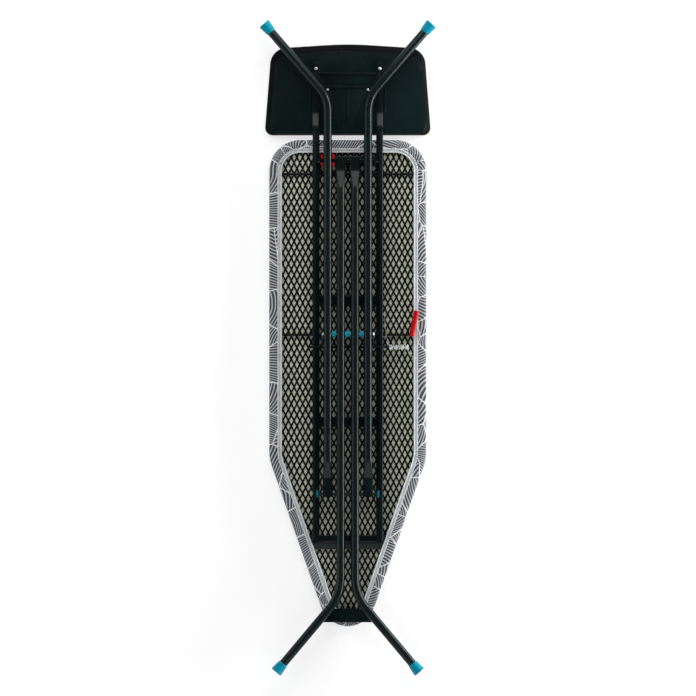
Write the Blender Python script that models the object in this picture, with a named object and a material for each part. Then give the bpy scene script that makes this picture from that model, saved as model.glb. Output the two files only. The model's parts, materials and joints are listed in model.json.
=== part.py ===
# Folding ironing board with an iron rest, folded flat and lying on its ironing face.
# Metres, +Z up. X runs across the board, +Y points to the head with the iron rest.
# The origin is on the floor under the middle of the folded board.
import math

import bpy
import bmesh
from mathutils import Matrix, Vector

# ---- board outline -------------------------------------------------------------------
BOARD_HALF_WIDTH = 0.202
BOARD_HEAD_Y = 0.5343
TAPER_ANGLE = math.radians(19.3)
TAPER_AT_ORIGIN = 0.30205     # half width that the tapering sides would have at Y = 0
HEAD_RADIUS = 0.080
SHOULDER_RADIUS = 0.110
NOSE_RADIUS = 0.0724
CORNER_STEPS = 7

# ---- heights of the layers, from the floor up ----------------------------------------
GAP = 0.0003                  # between pieces that touch
COVER_THICKNESS = 0.0010
LIP_THICKNESS = 0.0007
PAD_TOP = 0.0063
MESH_TOP = 0.0081
FRAME_BOTTOM = MESH_TOP + GAP
RIM_TOP = 0.0145
LIP_TOP = 0.0155
RAIL_BOTTOM = 0.0158
RAIL_TOP = 0.0356
SHEET = 0.0016                # rail steel
THIN_SHEET = 0.0012           # rim and brace steel
LIP_WIDTH = 0.0220
TAPE_INNER = 0.0320
RIM_INSET = 0.0016            # how far in from the cover's edge the pieces below begin
RIM_WIDTH = 0.0315
MESH_INSET = 0.0040

# ---- rails ---------------------------------------------------------------------------
RAIL_OUTER_X = 0.0907
RAIL_INNER_X = 0.0727
RAIL_TOP_FLANGE_X = 0.0815
RAIL_NOSE_Y = -0.4955
RAIL_HEAD_Y = 0.5720
SLOPE_END_Y = 0.6030          # foot of the slope between a rail's head and its tab
TAB_END_Y = 0.7350
TAB_TOP = 0.0178
TAB_THICKNESS = 0.0020
TAB_ROOT = (0.0160, 0.0760)   # length under the top flange, and its inner edge's X
LOCK_SLOT = ((0.0880, 0.0920), (-0.0045, 0.0075), (0.0177, 0.0310))

# ---- braces, nose bar and nose cap ---------------------------------------------------
BRACES = {
    "head_brace": (0.4678, 0.4935),
    "brace_upper": (0.1088, 0.1350),
    "brace_lower": (-0.2032, -0.1770),
}
NOSE_BAR_HALF_LENGTH = 0.13
NOSE_BAR_PROFILE = [          # (Y, Z) across the bar, with a pressed ridge
    (-0.5170, FRAME_BOTTOM), (-0.5170, 0.0110), (-0.5030, 0.0140), (-0.5005, 0.0185),
    (-0.4985, 0.0185), (-0.4970, 0.0149), (-0.4822, 0.0149), (-0.4822, FRAME_BOTTOM)]
NOSE_CAP_HALF_WIDTH = 0.064
NOSE_CAP_Y = (-0.7035, -0.6720)
NOSE_CAP_TOP = 0.0240
HEAD_ROD_Y = 0.4468
HEAD_ROD_HALF_LENGTH = 0.17

# ---- legs ----------------------------------------------------------------------------
LEG_RADIUS = 0.011
LEG_WALL = 0.0012
LEG_Z = 0.0442                # centre line of both legs when folded
PIVOT_Z = 0.0257              # inner leg's pivot and outer leg's slider rod
PIVOT_Y = 0.4815
CENTRE_Y = 0.0356             # bolt where the legs cross
SLIDER_Y = -0.3756
INNER_LEG_X = 0.0185
OUTER_LEG_X = 0.0519
FOOT_END_Y = 0.8339
OUTER_FOOT_X = 0.2158
INNER_FOOT_X = 0.1848
OUTER_BEND_RADIUS = 0.095
INNER_BEND_RADIUS = 0.122
OUTER_SPLAY = math.radians(49.4)
INNER_SPLAY = math.radians(50.0)
FLAT_HALF_WIDTH = 0.0124
FLAT_HALF_HEIGHT = 0.0020
PIVOT_TUBE_RADIUS = 0.007
PIVOT_TUBE_END = 0.0713
SLIDER_ROD_RADIUS = 0.004
BOLT_RADIUS = 0.003
SPACER_RADIUS = 0.008
TUBE_SIDES = 16
BEND_STEPS = 7

# ---- pivot brackets, transport clip and shoes ----------------------------------------
BRACKET_SHEET = 0.0020
BRACKET_X = (0.0700, 0.0840)
BRACKET_Z = (0.0177, 0.0360)
BRACKET_HALF_LENGTH = 0.013
CLIP_X = (-0.0685, -0.0316)
CLIP_Y = (PIVOT_Y - 0.0172, PIVOT_Y + 0.0180)
CLIP_TOP = 0.0475
CLIP_PRONG_GAP = 0.0035       # half the gap between the front and back prongs
SHOE_X = (0.0735, 0.0882)
SHOE_HALF_LENGTH = 0.009
SHOE_HALF_HEIGHT = 0.006

# ---- feet ----------------------------------------------------------------------------
FOOT_LENGTH = 0.029
FOOT_OUTER_RADIUS = 0.01535
FOOT_INNER_RADIUS = 0.0125
FOOT_SOLE = 0.004

# ---- height lever --------------------------------------------------------------------
LEVER_Y = 0.0335
LEVER_Z = 0.0114
LEVER_ROD_RADIUS = 0.003
LEVER_LEFT_X = -0.1700
LEVER_RIGHT_X = 0.1650
GRIP_Z = 0.0340
GRIP_TILT = math.radians(9.4)
GRIP_LENGTH = 0.069
LOCK_Y = 0.0021
LOCK_Z = 0.0210
LOCK_LEFT_X = -0.0990
LOCK_RIGHT_X = 0.1030
LOCK_ARM_X = 0.0650
LOCK_ARM_THICKNESS = 0.003
LOCK_ARM_OUTLINE = [          # (Y, Z), from the lever rod to the lock bar
    (0.0365, 0.0092), (0.0375, 0.0155), (0.0075, 0.0255), (-0.0030, 0.0255),
    (-0.0030, 0.0168), (0.0030, 0.0168), (0.0290, 0.0088)]
SADDLE_X = (0.0770, 0.0880)
SADDLE_HALF_LENGTH = 0.008

# ---- return spring -------------------------------------------------------------------
SPRING_WIRE = 0.0008
SPRING_RADIUS = 0.0063
SPRING_TURNS = 10
SPRING_STEPS = 10             # points in each turn
SPRING_X = (0.1065, 0.1540)
SPRING_Z = 0.0215

# ---- iron rest -----------------------------------------------------------------------
TRAY_TOP = 0.0155
TRAY_EDGE_Z = 0.0020
TRAY_SHEET = 0.0022
TRAY_FOOT_Y = 0.5460
TRAY_FOOT_HALF_WIDTH = 0.2140
TRAY_HEAD = (0.1965, 0.7690)  # corner at the head
TRAY_ARCH_Y = 0.7815          # top of the arch
TRAY_SLOPE = (0.0150, 0.0040) # width of the sloping rim, at the sides and at the foot
BIG_SCREW = (0.0820, 0.7179)
SMALL_SCREW = (0.0514, 0.6640)
SCREW_DEPTH = 0.0045          # of the shank below its seat
BIG_HOLE = 0.0029
SMALL_HOLE = 0.0020
CUT = 0.01                    # how far a cutter runs past the face that it cuts

# ---- colours (linear) and finishes ---------------------------------------------------
FINISHES = {
    "black_paint": ((0.008, 0.013, 0.013), 0.45, 0.3),
    "rest_black": ((0.007, 0.011, 0.012), 0.40, 0.0),
    "teal_plastic": ((0.0, 0.25, 0.36), 0.45, 0.0),
    "red_plastic": ((0.55, 0.0, 0.008), 0.4, 0.0),
    "zinc": ((0.6, 0.6, 0.62), 0.3, 1.0),
    "cover_fabric": ((0.25, 0.26, 0.28), 0.9, 0.0),
    "binding_tape": ((0.62, 0.63, 0.65), 0.9, 0.0),
    "felt": ((0.36, 0.38, 0.33), 0.95, 0.0),
}


# ======================================================================================
# helpers
# ======================================================================================
def clear_scene():
    for obj in list(bpy.data.objects):
        bpy.data.objects.remove(obj, do_unlink=True)


def material(finish):
    existing = bpy.data.materials.get(finish)
    if existing:
        return existing
    colour, roughness, metallic = FINISHES[finish]
    made = bpy.data.materials.new(finish)
    made.use_nodes = True
    shader = made.node_tree.nodes["Principled BSDF"]
    shader.inputs["Base Color"].default_value = (*colour, 1.0)
    shader.inputs["Roughness"].default_value = roughness
    shader.inputs["Metallic"].default_value = metallic
    return made


def joint_empty(name, y, z):
    empty = bpy.data.objects.new(name, None)
    empty.location = (0.0, y, z)
    bpy.context.collection.objects.link(empty)
    return empty


def place(obj, finish, joint=None):
    """Link an object, give it its material and hang it on its joint's empty."""
    bpy.context.collection.objects.link(obj)
    obj.data.materials.append(material(finish))
    if joint is not None:
        obj.parent = joint
        obj.matrix_parent_inverse = Matrix.Translation(joint.location).inverted()
    return obj


def finish_mesh(name, bm, finish, joint=None, smooth=False, inside=None):
    """Turn a bmesh into a named object with its faces pointing outwards.

    An open surface names a point on its inner side.
    """
    bmesh.ops.recalc_face_normals(bm, faces=bm.faces)
    if inside is not None:
        bm.faces.ensure_lookup_table()
        first = bm.faces[0]
        if first.normal.dot(first.calc_center_median() - Vector(inside)) < 0:
            bmesh.ops.reverse_faces(bm, faces=bm.faces)
    mesh = bpy.data.meshes.new(name)
    bm.to_mesh(mesh)
    bm.free()
    if smooth:
        mesh.shade_smooth()
        mesh.set_sharp_from_angle(angle=math.radians(40))
    return place(bpy.data.objects.new(name, mesh), finish, joint)


def solidify(obj, thickness, offset=-1.0):
    wall = obj.modifiers.new("wall", "SOLIDIFY")
    wall.thickness = thickness
    wall.offset = offset
    wall.use_even_offset = True


def bevel(obj, width, segments=2):
    edge = obj.modifiers.new("edge", "BEVEL")
    edge.width = width
    edge.segments = segments
    edge.limit_method = "ANGLE"
    edge.angle_limit = math.radians(40)


def boolean(obj, tool, operation="DIFFERENCE"):
    """Cut with, or join to, a hidden tool object."""
    tool.hide_render = True
    tool.display_type = "WIRE"
    step = obj.modifiers.new("cut", "BOOLEAN")
    step.operation = operation
    step.object = tool
    step.solver = "EXACT"


def tool_object(name, bm):
    bmesh.ops.recalc_face_normals(bm, faces=bm.faces)
    mesh = bpy.data.meshes.new(name)
    bm.to_mesh(mesh)
    bm.free()
    obj = bpy.data.objects.new(name, mesh)
    bpy.context.collection.objects.link(obj)
    return obj


def rod_bmesh(start, end, radius, sides=TUBE_SIDES, capped=True):
    start, end = Vector(start), Vector(end)
    run = end - start
    turn = run.to_track_quat("Z", "Y").to_matrix().to_4x4()
    bm = bmesh.new()
    bmesh.ops.create_cone(
        bm, cap_ends=capped, segments=sides, radius1=radius, radius2=radius,
        depth=run.length, matrix=Matrix.Translation((start + end) / 2) @ turn)
    return bm


def rod(name, start, end, radius, finish, joint=None, sides=TUBE_SIDES):
    return finish_mesh(name, rod_bmesh(start, end, radius, sides), finish, joint, smooth=True)


def drill(obj, name, start, end, radius, sides=12):
    boolean(obj, tool_object(name, rod_bmesh(start, end, radius, sides)))


def box_bmesh(low, high):
    low, high = Vector(low), Vector(high)
    bm = bmesh.new()
    size = Matrix.Diagonal((*(high - low), 1.0))
    bmesh.ops.create_cube(bm, size=1.0, matrix=Matrix.Translation((low + high) / 2) @ size)
    return bm


def box(name, low, high, finish, joint=None):
    return finish_mesh(name, box_bmesh(low, high), finish, joint)


def cut_box(obj, name, low, high):
    boolean(obj, tool_object(name, box_bmesh(low, high)))


def mirror_box(side, x_in, x_out, y0, y1, z0, z1):
    """Corners of a box on the side (+1 or -1) between two distances from the middle."""
    xs = sorted((side * x_in, side * x_out))
    return (xs[0], y0, z0), (xs[1], y1, z1)


def rounded(corners, steps=CORNER_STEPS):
    """Points of a convex outline, run anticlockwise, from (x, y, corner radius)."""
    points = []
    count = len(corners)
    for i, (x, y, radius) in enumerate(corners):
        here = Vector((x, y))
        to_last = (Vector(corners[i - 1][:2]) - here).normalized()
        to_next = (Vector(corners[(i + 1) % count][:2]) - here).normalized()
        half = to_last.angle(to_next) / 2
        centre = here + (to_last + to_next).normalized() * radius / math.sin(half)
        first = here + to_last * radius / math.tan(half) - centre
        sweep = math.pi - 2 * half
        for k in range(steps + 1):
            points.append(centre + Matrix.Rotation(sweep * k / steps, 2) @ first)
    return points


def board_outline(inset=0.0):
    """The board's outline, moved inwards by inset."""
    half = BOARD_HALF_WIDTH - inset
    taper = TAPER_AT_ORIGIN - inset / math.cos(TAPER_ANGLE)
    slope = math.tan(TAPER_ANGLE)
    shoulder_y = (half - taper) / slope
    head_y = BOARD_HEAD_Y - inset
    return rounded([
        (half, shoulder_y, SHOULDER_RADIUS - inset),
        (half, head_y, HEAD_RADIUS - inset),
        (-half, head_y, HEAD_RADIUS - inset),
        (-half, shoulder_y, SHOULDER_RADIUS - inset),
        (0.0, -taper / slope, NOSE_RADIUS - inset),
    ])


def tray_outline(inset=0.0, foot_inset=0.0):
    """The iron rest's outline, arched at the head, moved inwards by inset."""
    foot_x, foot_y = TRAY_FOOT_HALF_WIDTH - inset, TRAY_FOOT_Y + foot_inset
    head_x, head_y = TRAY_HEAD[0] - inset, TRAY_HEAD[1] - inset
    foot_radius, head_radius, arch_radius = 0.020, 0.044 - inset / 2, 0.900
    return rounded([
        (foot_x, foot_y, foot_radius),
        (head_x, head_y, head_radius),
        (0.0, TRAY_ARCH_Y - inset, arch_radius),
        (-head_x, head_y, head_radius),
        (-foot_x, foot_y, foot_radius),
    ])


def pulled_face(points, run):
    """A solid pulled from one flat face along a run."""
    bm = bmesh.new()
    face = bm.faces.new([bm.verts.new(p) for p in points])
    grown = bmesh.ops.extrude_face_region(bm, geom=[face])
    moved = [v for v in grown["geom"] if isinstance(v, bmesh.types.BMVert)]
    bmesh.ops.translate(bm, verts=moved, vec=run)
    return bm


def plate_bmesh(outline, z0, z1):
    return pulled_face([(p.x, p.y, z0) for p in outline], (0, 0, z1 - z0))


def plate(name, outline, z0, z1, finish):
    return finish_mesh(name, plate_bmesh(outline, z0, z1), finish)


def skin(bm, one, other):
    """Quads between two closed loops of as many points."""
    for i in range(len(one)):
        bm.faces.new((one[i - 1], one[i], other[i], other[i - 1]))


def band_round_board(name, profile, finish):
    """A closed profile of (inset, height) carried all round the board's outline."""
    bm = bmesh.new()
    loops = [[bm.verts.new((p.x, p.y, z)) for p in board_outline(inset)]
             for inset, z in profile]
    for i in range(len(loops)):
        skin(bm, loops[i - 1], loops[i])
    return finish_mesh(name, bm, finish)


def folded_sheet(name, profile, along, start, end, thickness, finish, joint=None):
    """Sheet metal: a profile of points in the plane across an axis, drawn along it."""
    bm = bmesh.new()
    if along == "X":
        points = [Vector((start, a, z)) for a, z in profile]
        run = Vector((end - start, 0, 0))
    else:
        points = [Vector((a, start, z)) for a, z in profile]
        run = Vector((0, end - start, 0))
    verts = [bm.verts.new(p) for p in points]
    edges = [bm.edges.new(pair) for pair in zip(verts, verts[1:])]
    grown = bmesh.ops.extrude_edge_only(bm, edges=edges)
    moved = [v for v in grown["geom"] if isinstance(v, bmesh.types.BMVert)]
    bmesh.ops.translate(bm, verts=moved, vec=run)
    obj = finish_mesh(name, bm, finish, joint)
    solidify(obj, thickness, 0.0)
    return obj


def turned_bmesh(profile, place_matrix, sides=TUBE_SIDES):
    """A solid turned about its own Z axis from (radius, height) points, then placed."""
    bm = bmesh.new()
    verts = [bm.verts.new((r, 0, z)) for r, z in profile]
    edges = [bm.edges.new(pair) for pair in zip(verts, verts[1:])]
    bmesh.ops.spin(
        bm, geom=verts + edges, cent=(0, 0, 0), axis=(0, 0, 1),
        angle=math.tau, steps=sides, use_merge=True)
    bmesh.ops.remove_doubles(bm, verts=bm.verts, dist=1e-6)
    bmesh.ops.transform(bm, matrix=place_matrix, verts=bm.verts)
    return bm


def along_axis(origin, direction):
    turn = Vector(direction).to_track_quat("Z", "Y").to_matrix().to_4x4()
    return Matrix.Translation(Vector(origin)) @ turn


# ======================================================================================
# board: cover, pad, mesh, rim
# ======================================================================================
def make_cover():
    plate("cover_face", board_outline(), 0.0, COVER_THICKNESS, "cover_fabric")
    low = COVER_THICKNESS + GAP
    wall = COVER_THICKNESS
    under_lip = LIP_TOP - LIP_THICKNESS
    band_round_board("cover_side_band", [
        (0.0, low), (0.0, LIP_TOP), (LIP_WIDTH, LIP_TOP),
        (LIP_WIDTH, under_lip), (wall, under_lip), (wall, low)], "cover_fabric")
    band_round_board("cover_binding_tape", [
        (LIP_WIDTH + GAP, under_lip), (LIP_WIDTH + GAP, LIP_TOP),
        (TAPE_INNER, LIP_TOP), (TAPE_INNER, under_lip)], "binding_tape")


def make_board_core():
    pad_edge = COVER_THICKNESS + GAP
    plate("underlay_pad", board_outline(pad_edge), COVER_THICKNESS + GAP, PAD_TOP, "felt")
    plate("mesh_panel", board_outline(MESH_INSET), PAD_TOP + GAP, MESH_TOP, "black_paint")
    outer = RIM_INSET
    inner = RIM_WIDTH
    band_round_board("rim_frame", [
        (outer, FRAME_BOTTOM), (outer, RIM_TOP), (inner, RIM_TOP), (inner, FRAME_BOTTOM),
        (inner - THIN_SHEET, FRAME_BOTTOM), (inner - THIN_SHEET, RIM_TOP - THIN_SHEET),
        (outer + THIN_SHEET, RIM_TOP - THIN_SHEET), (outer + THIN_SHEET, FRAME_BOTTOM),
    ], "black_paint")


# ======================================================================================
# board: rails, braces, nose
# ======================================================================================
def rail_tab_tool(name, side):
    """The bent plate at a rail's head: under the top flange, down the slope, flat tab."""
    root_length, root_x = TAB_ROOT
    flange_z, tab_z = RAIL_TOP - SHEET / 2, TAB_TOP - TAB_THICKNESS / 2
    rows = [
        (RAIL_HEAD_Y - root_length, flange_z, root_x),
        (RAIL_HEAD_Y, flange_z, root_x),
        (SLOPE_END_Y, tab_z, RAIL_INNER_X),
        (TAB_END_Y, tab_z, RAIL_INNER_X),
    ]
    bm = bmesh.new()
    pairs = []
    for y, z, inner in rows:
        ends = [bm.verts.new((side * inner, y, z)), bm.verts.new((side * RAIL_OUTER_X, y, z))]
        pairs.append(ends)
    for (a, b), (c, d) in zip(pairs, pairs[1:]):
        bm.faces.new((a, b, d, c))
    tool = tool_object(name, bm)
    solidify(tool, TAB_THICKNESS, 0.0)
    return tool


def make_rail(name, side):
    middle = SHEET / 2
    top, low = RAIL_TOP - middle, RAIL_BOTTOM + middle
    web = side * (RAIL_OUTER_X - middle)
    profile = [(side * RAIL_TOP_FLANGE_X, top), (web, top), (web, low), (side * RAIL_INNER_X, low)]
    rail = folded_sheet(name, profile, "Y", RAIL_NOSE_Y, RAIL_HEAD_Y, SHEET, "black_paint")
    boolean(rail, rail_tab_tool(name + "_tab_tool", side), "UNION")
    (x_in, x_out), (back, front), (z0, z1) = LOCK_SLOT
    slot = mirror_box(side, x_in, x_out, LOCK_Y + back, LOCK_Y + front, z0, z1)
    cut_box(rail, name + "_lock_slot", *slot)
    x, y = side * BIG_SCREW[0], BIG_SCREW[1]
    drill(rail, name + "_screw_hole", (x, y, TAB_TOP - CUT), (x, y, TAB_TOP + CUT), BIG_HOLE)


def make_brace(name, y0, y1):
    """A shallow channel that lies across the mesh under both rails."""
    half = THIN_SHEET / 2
    low, top = FRAME_BOTTOM, LIP_TOP - half
    profile = [(y0 + half, low), (y0 + half, top), (y1 - half, top), (y1 - half, low)]
    folded_sheet(name, profile, "X", -RAIL_OUTER_X, RAIL_OUTER_X, THIN_SHEET, "black_paint")


def make_nose_bar():
    """Wide pressed bar with a ridge, its ends cut parallel to the tapering sides."""
    half = NOSE_BAR_HALF_LENGTH
    bar = folded_sheet("nose_bar", NOSE_BAR_PROFILE, "X", -half, half, THIN_SHEET, "black_paint")
    clear = RIM_WIDTH + 2 * GAP
    slope = math.tan(TAPER_ANGLE)
    nose_end, head_end = NOSE_BAR_PROFILE[0][0] - CUT, NOSE_BAR_PROFILE[-1][0] + CUT
    for side in (-1, 1):
        edge = [(TAPER_AT_ORIGIN - clear / math.cos(TAPER_ANGLE) + slope * y, y)
                for y in (nose_end, head_end)]
        corners = [edge[0], (half + CUT, nose_end), (half + CUT, head_end), edge[1]]
        outline = [Vector((side * x, y)) for x, y in corners]
        bm = plate_bmesh(outline, FRAME_BOTTOM - CUT, RAIL_BOTTOM + CUT)
        boolean(bar, tool_object("nose_bar_end_%d" % side, bm))


def make_nose_cap():
    half, (nose_y, head_y) = NOSE_CAP_HALF_WIDTH, NOSE_CAP_Y
    corners = [(half, nose_y, 0.004), (half, head_y, 0.006),
               (-half, head_y, 0.006), (-half, nose_y, 0.004)]
    cap = plate("nose_cap", rounded(corners, 3), RAIL_BOTTOM, NOSE_CAP_TOP, "rest_black")
    bevel(cap, 0.0015)


def make_head_rod():
    half, z = HEAD_ROD_HALF_LENGTH, FRAME_BOTTOM + LEVER_ROD_RADIUS
    rod("head_rod", (-half, HEAD_ROD_Y, z), (half, HEAD_ROD_Y, z), LEVER_ROD_RADIUS,
        "black_paint", sides=10)


# ======================================================================================
# board: pivot brackets, transport clip, lever saddles, return spring
# ======================================================================================
def make_pivot_bracket(name, side):
    """Angle that stands in the rail and carries the end of the pivot tube."""
    (wall_x, foot_x), (low, top) = BRACKET_X, BRACKET_Z
    foot_z = low + BRACKET_SHEET / 2
    profile = [(side * wall_x, top), (side * wall_x, foot_z), (side * foot_x, foot_z)]
    bracket = folded_sheet(
        name, profile, "Y", PIVOT_Y - BRACKET_HALF_LENGTH, PIVOT_Y + BRACKET_HALF_LENGTH,
        BRACKET_SHEET, "black_paint")
    drill(bracket, name + "_bore", (side * (wall_x - CUT), PIVOT_Y, PIVOT_Z),
          (side * (wall_x + BRACKET_SHEET), PIVOT_Y, PIVOT_Z), PIVOT_TUBE_RADIUS + GAP,
          TUBE_SIDES)


def make_transport_clip():
    """Red saddle on the pivot tube; four prongs hold the outer leg's left tube."""
    (x0, x1), (y0, y1) = CLIP_X, CLIP_Y
    past = CLIP_TOP + CUT
    clip = box("transport_clip", (x0, y0, RAIL_BOTTOM), (x1, y1, CLIP_TOP), "red_plastic")
    drill(clip, "clip_leg_bore", (-OUTER_LEG_X, y0 - CUT, LEG_Z),
          (-OUTER_LEG_X, y1 + CUT, LEG_Z), LEG_RADIUS + 2 * GAP, TUBE_SIDES)
    cut_box(clip, "clip_leg_way", (-OUTER_LEG_X - LEG_RADIUS - GAP, y0 - CUT, LEG_Z),
            (-OUTER_LEG_X + LEG_RADIUS + GAP, y1 + CUT, past))
    drill(clip, "clip_pivot_bore", (x0 - CUT, PIVOT_Y, PIVOT_Z), (x1 + CUT, PIVOT_Y, PIVOT_Z),
          PIVOT_TUBE_RADIUS + GAP, TUBE_SIDES)
    cut_box(clip, "clip_slot", (x0 - CUT, PIVOT_Y - CLIP_PRONG_GAP, PIVOT_Z + 0.004),
            (x1 + CUT, PIVOT_Y + CLIP_PRONG_GAP, past))


def make_lever_saddle(name, side):
    """Small bridge under the rail that holds the lever rod down on the mesh."""
    x_in, x_out = SADDLE_X
    low, high = mirror_box(side, x_in, x_out, LEVER_Y - SADDLE_HALF_LENGTH,
                           LEVER_Y + SADDLE_HALF_LENGTH, FRAME_BOTTOM, LIP_TOP)
    saddle = box(name, low, high, "black_paint")
    bore = LEVER_ROD_RADIUS + GAP
    drill(saddle, name + "_bore", (low[0] - CUT, LEVER_Y, LEVER_Z),
          (high[0] + CUT, LEVER_Y, LEVER_Z), bore)
    cut_box(saddle, name + "_mouth", (low[0] - CUT, LEVER_Y - bore, 0.0),
            (high[0] + CUT, LEVER_Y + bore, LEVER_Z))


def wire(name, points, radius, finish, joint=None, resolution=1):
    """Round wire along a list of points, as a curve with filled caps."""
    curve = bpy.data.curves.new(name, "CURVE")
    curve.dimensions = "3D"
    curve.bevel_depth = radius
    curve.bevel_resolution = resolution
    curve.use_fill_caps = True
    spline = curve.splines.new("POLY")
    spline.points.add(len(points) - 1)
    for spot, place_at in zip(spline.points, points):
        spot.co = (*place_at, 1.0)
    return place(bpy.data.objects.new(name, curve), finish, joint)


def bent_path(corners, radius, steps=4):
    """A path through corners, each of them rounded to the same radius."""
    corners = [Vector(c) for c in corners]
    points = [corners[0]]
    for last, here, after in zip(corners, corners[1:], corners[2:]):
        to_last = (last - here).normalized()
        to_next = (after - here).normalized()
        half = to_last.angle(to_next) / 2
        reach = radius / math.tan(half)
        centre = here + (to_last + to_next).normalized() * radius / math.sin(half)
        start, stop = here + to_last * reach - centre, here + to_next * reach - centre
        turn = start.rotation_difference(stop)
        axis, angle = turn.to_axis_angle()
        points += [centre + Matrix.Rotation(angle * k / steps, 3, axis) @ start
                   for k in range(steps + 1)]
    return points + [corners[-1]]


def make_return_spring():
    """Coil beside the right rail: a long leg along the rail, a hook under the cover's lip."""
    x0, x1 = SPRING_X
    z = SPRING_Z
    count = SPRING_TURNS * SPRING_STEPS
    coil = []
    for k in range(count + 1):
        angle = math.tau * k / SPRING_STEPS
        coil.append((x0 + (x1 - x0) * k / count, LOCK_Y + SPRING_RADIUS * math.cos(angle),
                     z + SPRING_RADIUS * math.sin(angle)))
    rail_leg = [(0.0945, 0.0765, z), (0.0962, 0.0500, z), (0.1000, 0.0260, z), (0.1045, 0.0125, z)]
    rim_hook = [(0.1552, -0.0030, 0.0170), (0.1565, -0.0120, 0.0150), (0.1600, -0.0205, 0.0130),
                (0.1640, -0.0225, 0.0120), (0.1695, -0.0225, 0.0115)]
    wire("return_spring", rail_leg + coil + rim_hook, SPRING_WIRE, "zinc")


# ======================================================================================
# iron rest
# ======================================================================================
def make_iron_rest():
    """Shallow pan, open to the ironing side: flat panel with sides sloping to its edge."""
    bm = bmesh.new()
    edge = [bm.verts.new((p.x, p.y, TRAY_EDGE_Z)) for p in tray_outline()]
    panel = [bm.verts.new((p.x, p.y, TRAY_TOP)) for p in tray_outline(*TRAY_SLOPE)]
    skin(bm, edge, panel)
    bm.faces.new(panel)
    tray = finish_mesh("iron_rest_tray", bm, "rest_black", inside=(0, 0.66, 0))
    solidify(tray, TRAY_SHEET)
    for side in (-1, 1):
        for (x, y), radius in ((BIG_SCREW, BIG_HOLE), (SMALL_SCREW, SMALL_HOLE)):
            drill(tray, "tray_hole_%.3f_%d" % (y, side),
                  (side * x, y, TRAY_TOP - CUT), (side * x, y, TRAY_TOP + CUT), radius)


def make_screw(name, x, y, seat, head_radius, head_height, shank_radius):
    """Round-headed screw that points down to the ironing side."""
    profile = [(0, head_height), (head_radius * 0.55, head_height * 0.9),
               (head_radius * 0.9, head_height * 0.5), (head_radius, 0),
               (shank_radius, 0), (shank_radius, -SCREW_DEPTH), (0, -SCREW_DEPTH)]
    bm = turned_bmesh(profile, Matrix.Translation((x, y, seat)), 12)
    finish_mesh(name, bm, "zinc", smooth=True)


def make_screws():
    for word, side in (("left", -1), ("right", 1)):
        make_screw("rest_screw_" + word, side * BIG_SCREW[0], BIG_SCREW[1],
                   TAB_TOP + GAP, 0.0050, 0.0030, 0.0025)
        make_screw("tray_screw_" + word, side * SMALL_SCREW[0], SMALL_SCREW[1],
                   TRAY_TOP + GAP, 0.0038, 0.0022, 0.0017)


# ======================================================================================
# legs
# ======================================================================================
def section(point, across, half_width, half_height, squareness):
    """Points of one cross-section of a leg tube, round or pressed flat."""
    ring = []
    power = 2.0 / squareness
    for k in range(TUBE_SIDES):
        angle = math.tau * k / TUBE_SIDES
        c, s = math.cos(angle), math.sin(angle)
        w = half_width * math.copysign(abs(c) ** power, c)
        h = half_height * math.copysign(abs(s) ** power, s)
        ring.append(point + across * w + Vector((0, 0, h)))
    return ring


def leg_stations(x, flat, flat_z, corner_y, bend_radius, splay, foot, toward_foot):
    """Stations of a leg tube from its flattened end, round the bend, to the foot.

    flat holds the Y of the flat end, of the flat's edge and of where the tube is round.
    toward_foot is +1 when the foot is at the head end, -1 at the nose end.
    """
    along = Vector((0, toward_foot, 0))
    across = Vector((1, 0, 0))
    stations = []
    end_y, edge_y, round_y = flat
    for y in (end_y, edge_y):
        stations.append((Vector((x, y, flat_z)), across, FLAT_HALF_WIDTH, FLAT_HALF_HEIGHT, 3.5))
    for k in (1, 2, 3):
        t = k / 4
        ease = t * t * (3 - 2 * t)
        y = edge_y + (round_y - edge_y) * t
        z = flat_z + (LEG_Z - flat_z) * ease
        wide = FLAT_HALF_WIDTH + (LEG_RADIUS - FLAT_HALF_WIDTH) * ease
        high = FLAT_HALF_HEIGHT + (LEG_RADIUS - FLAT_HALF_HEIGHT) * ease
        stations.append((Vector((x, y, z)), across, wide, high, 3.5 - 1.5 * ease))
    side = math.copysign(1, x)
    turn = math.pi / 2 - splay
    tangent = bend_radius * math.tan(turn / 2)
    start = Vector((x, corner_y, LEG_Z)) - along * tangent
    centre = start + Vector((side * bend_radius, 0, 0))
    stations.append((Vector((x, round_y, LEG_Z)), across, LEG_RADIUS, LEG_RADIUS, 2.0))
    for k in range(BEND_STEPS + 1):
        swing = Matrix.Rotation(-side * toward_foot * turn * k / BEND_STEPS, 3, "Z")
        point = centre + swing @ (start - centre)
        stations.append((point, swing @ across, LEG_RADIUS, LEG_RADIUS, 2.0))
    stations.append((foot, stations[-1][1], LEG_RADIUS, LEG_RADIUS, 2.0))
    return stations


def make_leg_tube(name, stations, joint):
    bm = bmesh.new()
    rings = [[bm.verts.new(p) for p in section(*station)] for station in stations]
    for one, other in zip(rings, rings[1:]):
        skin(bm, one, other)
    first_piece = (stations[0][0] + stations[1][0]) / 2
    tube = finish_mesh(name, bm, "black_paint", joint, smooth=True, inside=first_piece)
    solidify(tube, LEG_WALL)
    x, reach = stations[0][0].x, LEG_RADIUS + CUT / 2
    drill(tube, name + "_bolt_hole", (x - reach, CENTRE_Y, LEG_Z), (x + reach, CENTRE_Y, LEG_Z),
          BOLT_RADIUS + GAP)


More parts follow.
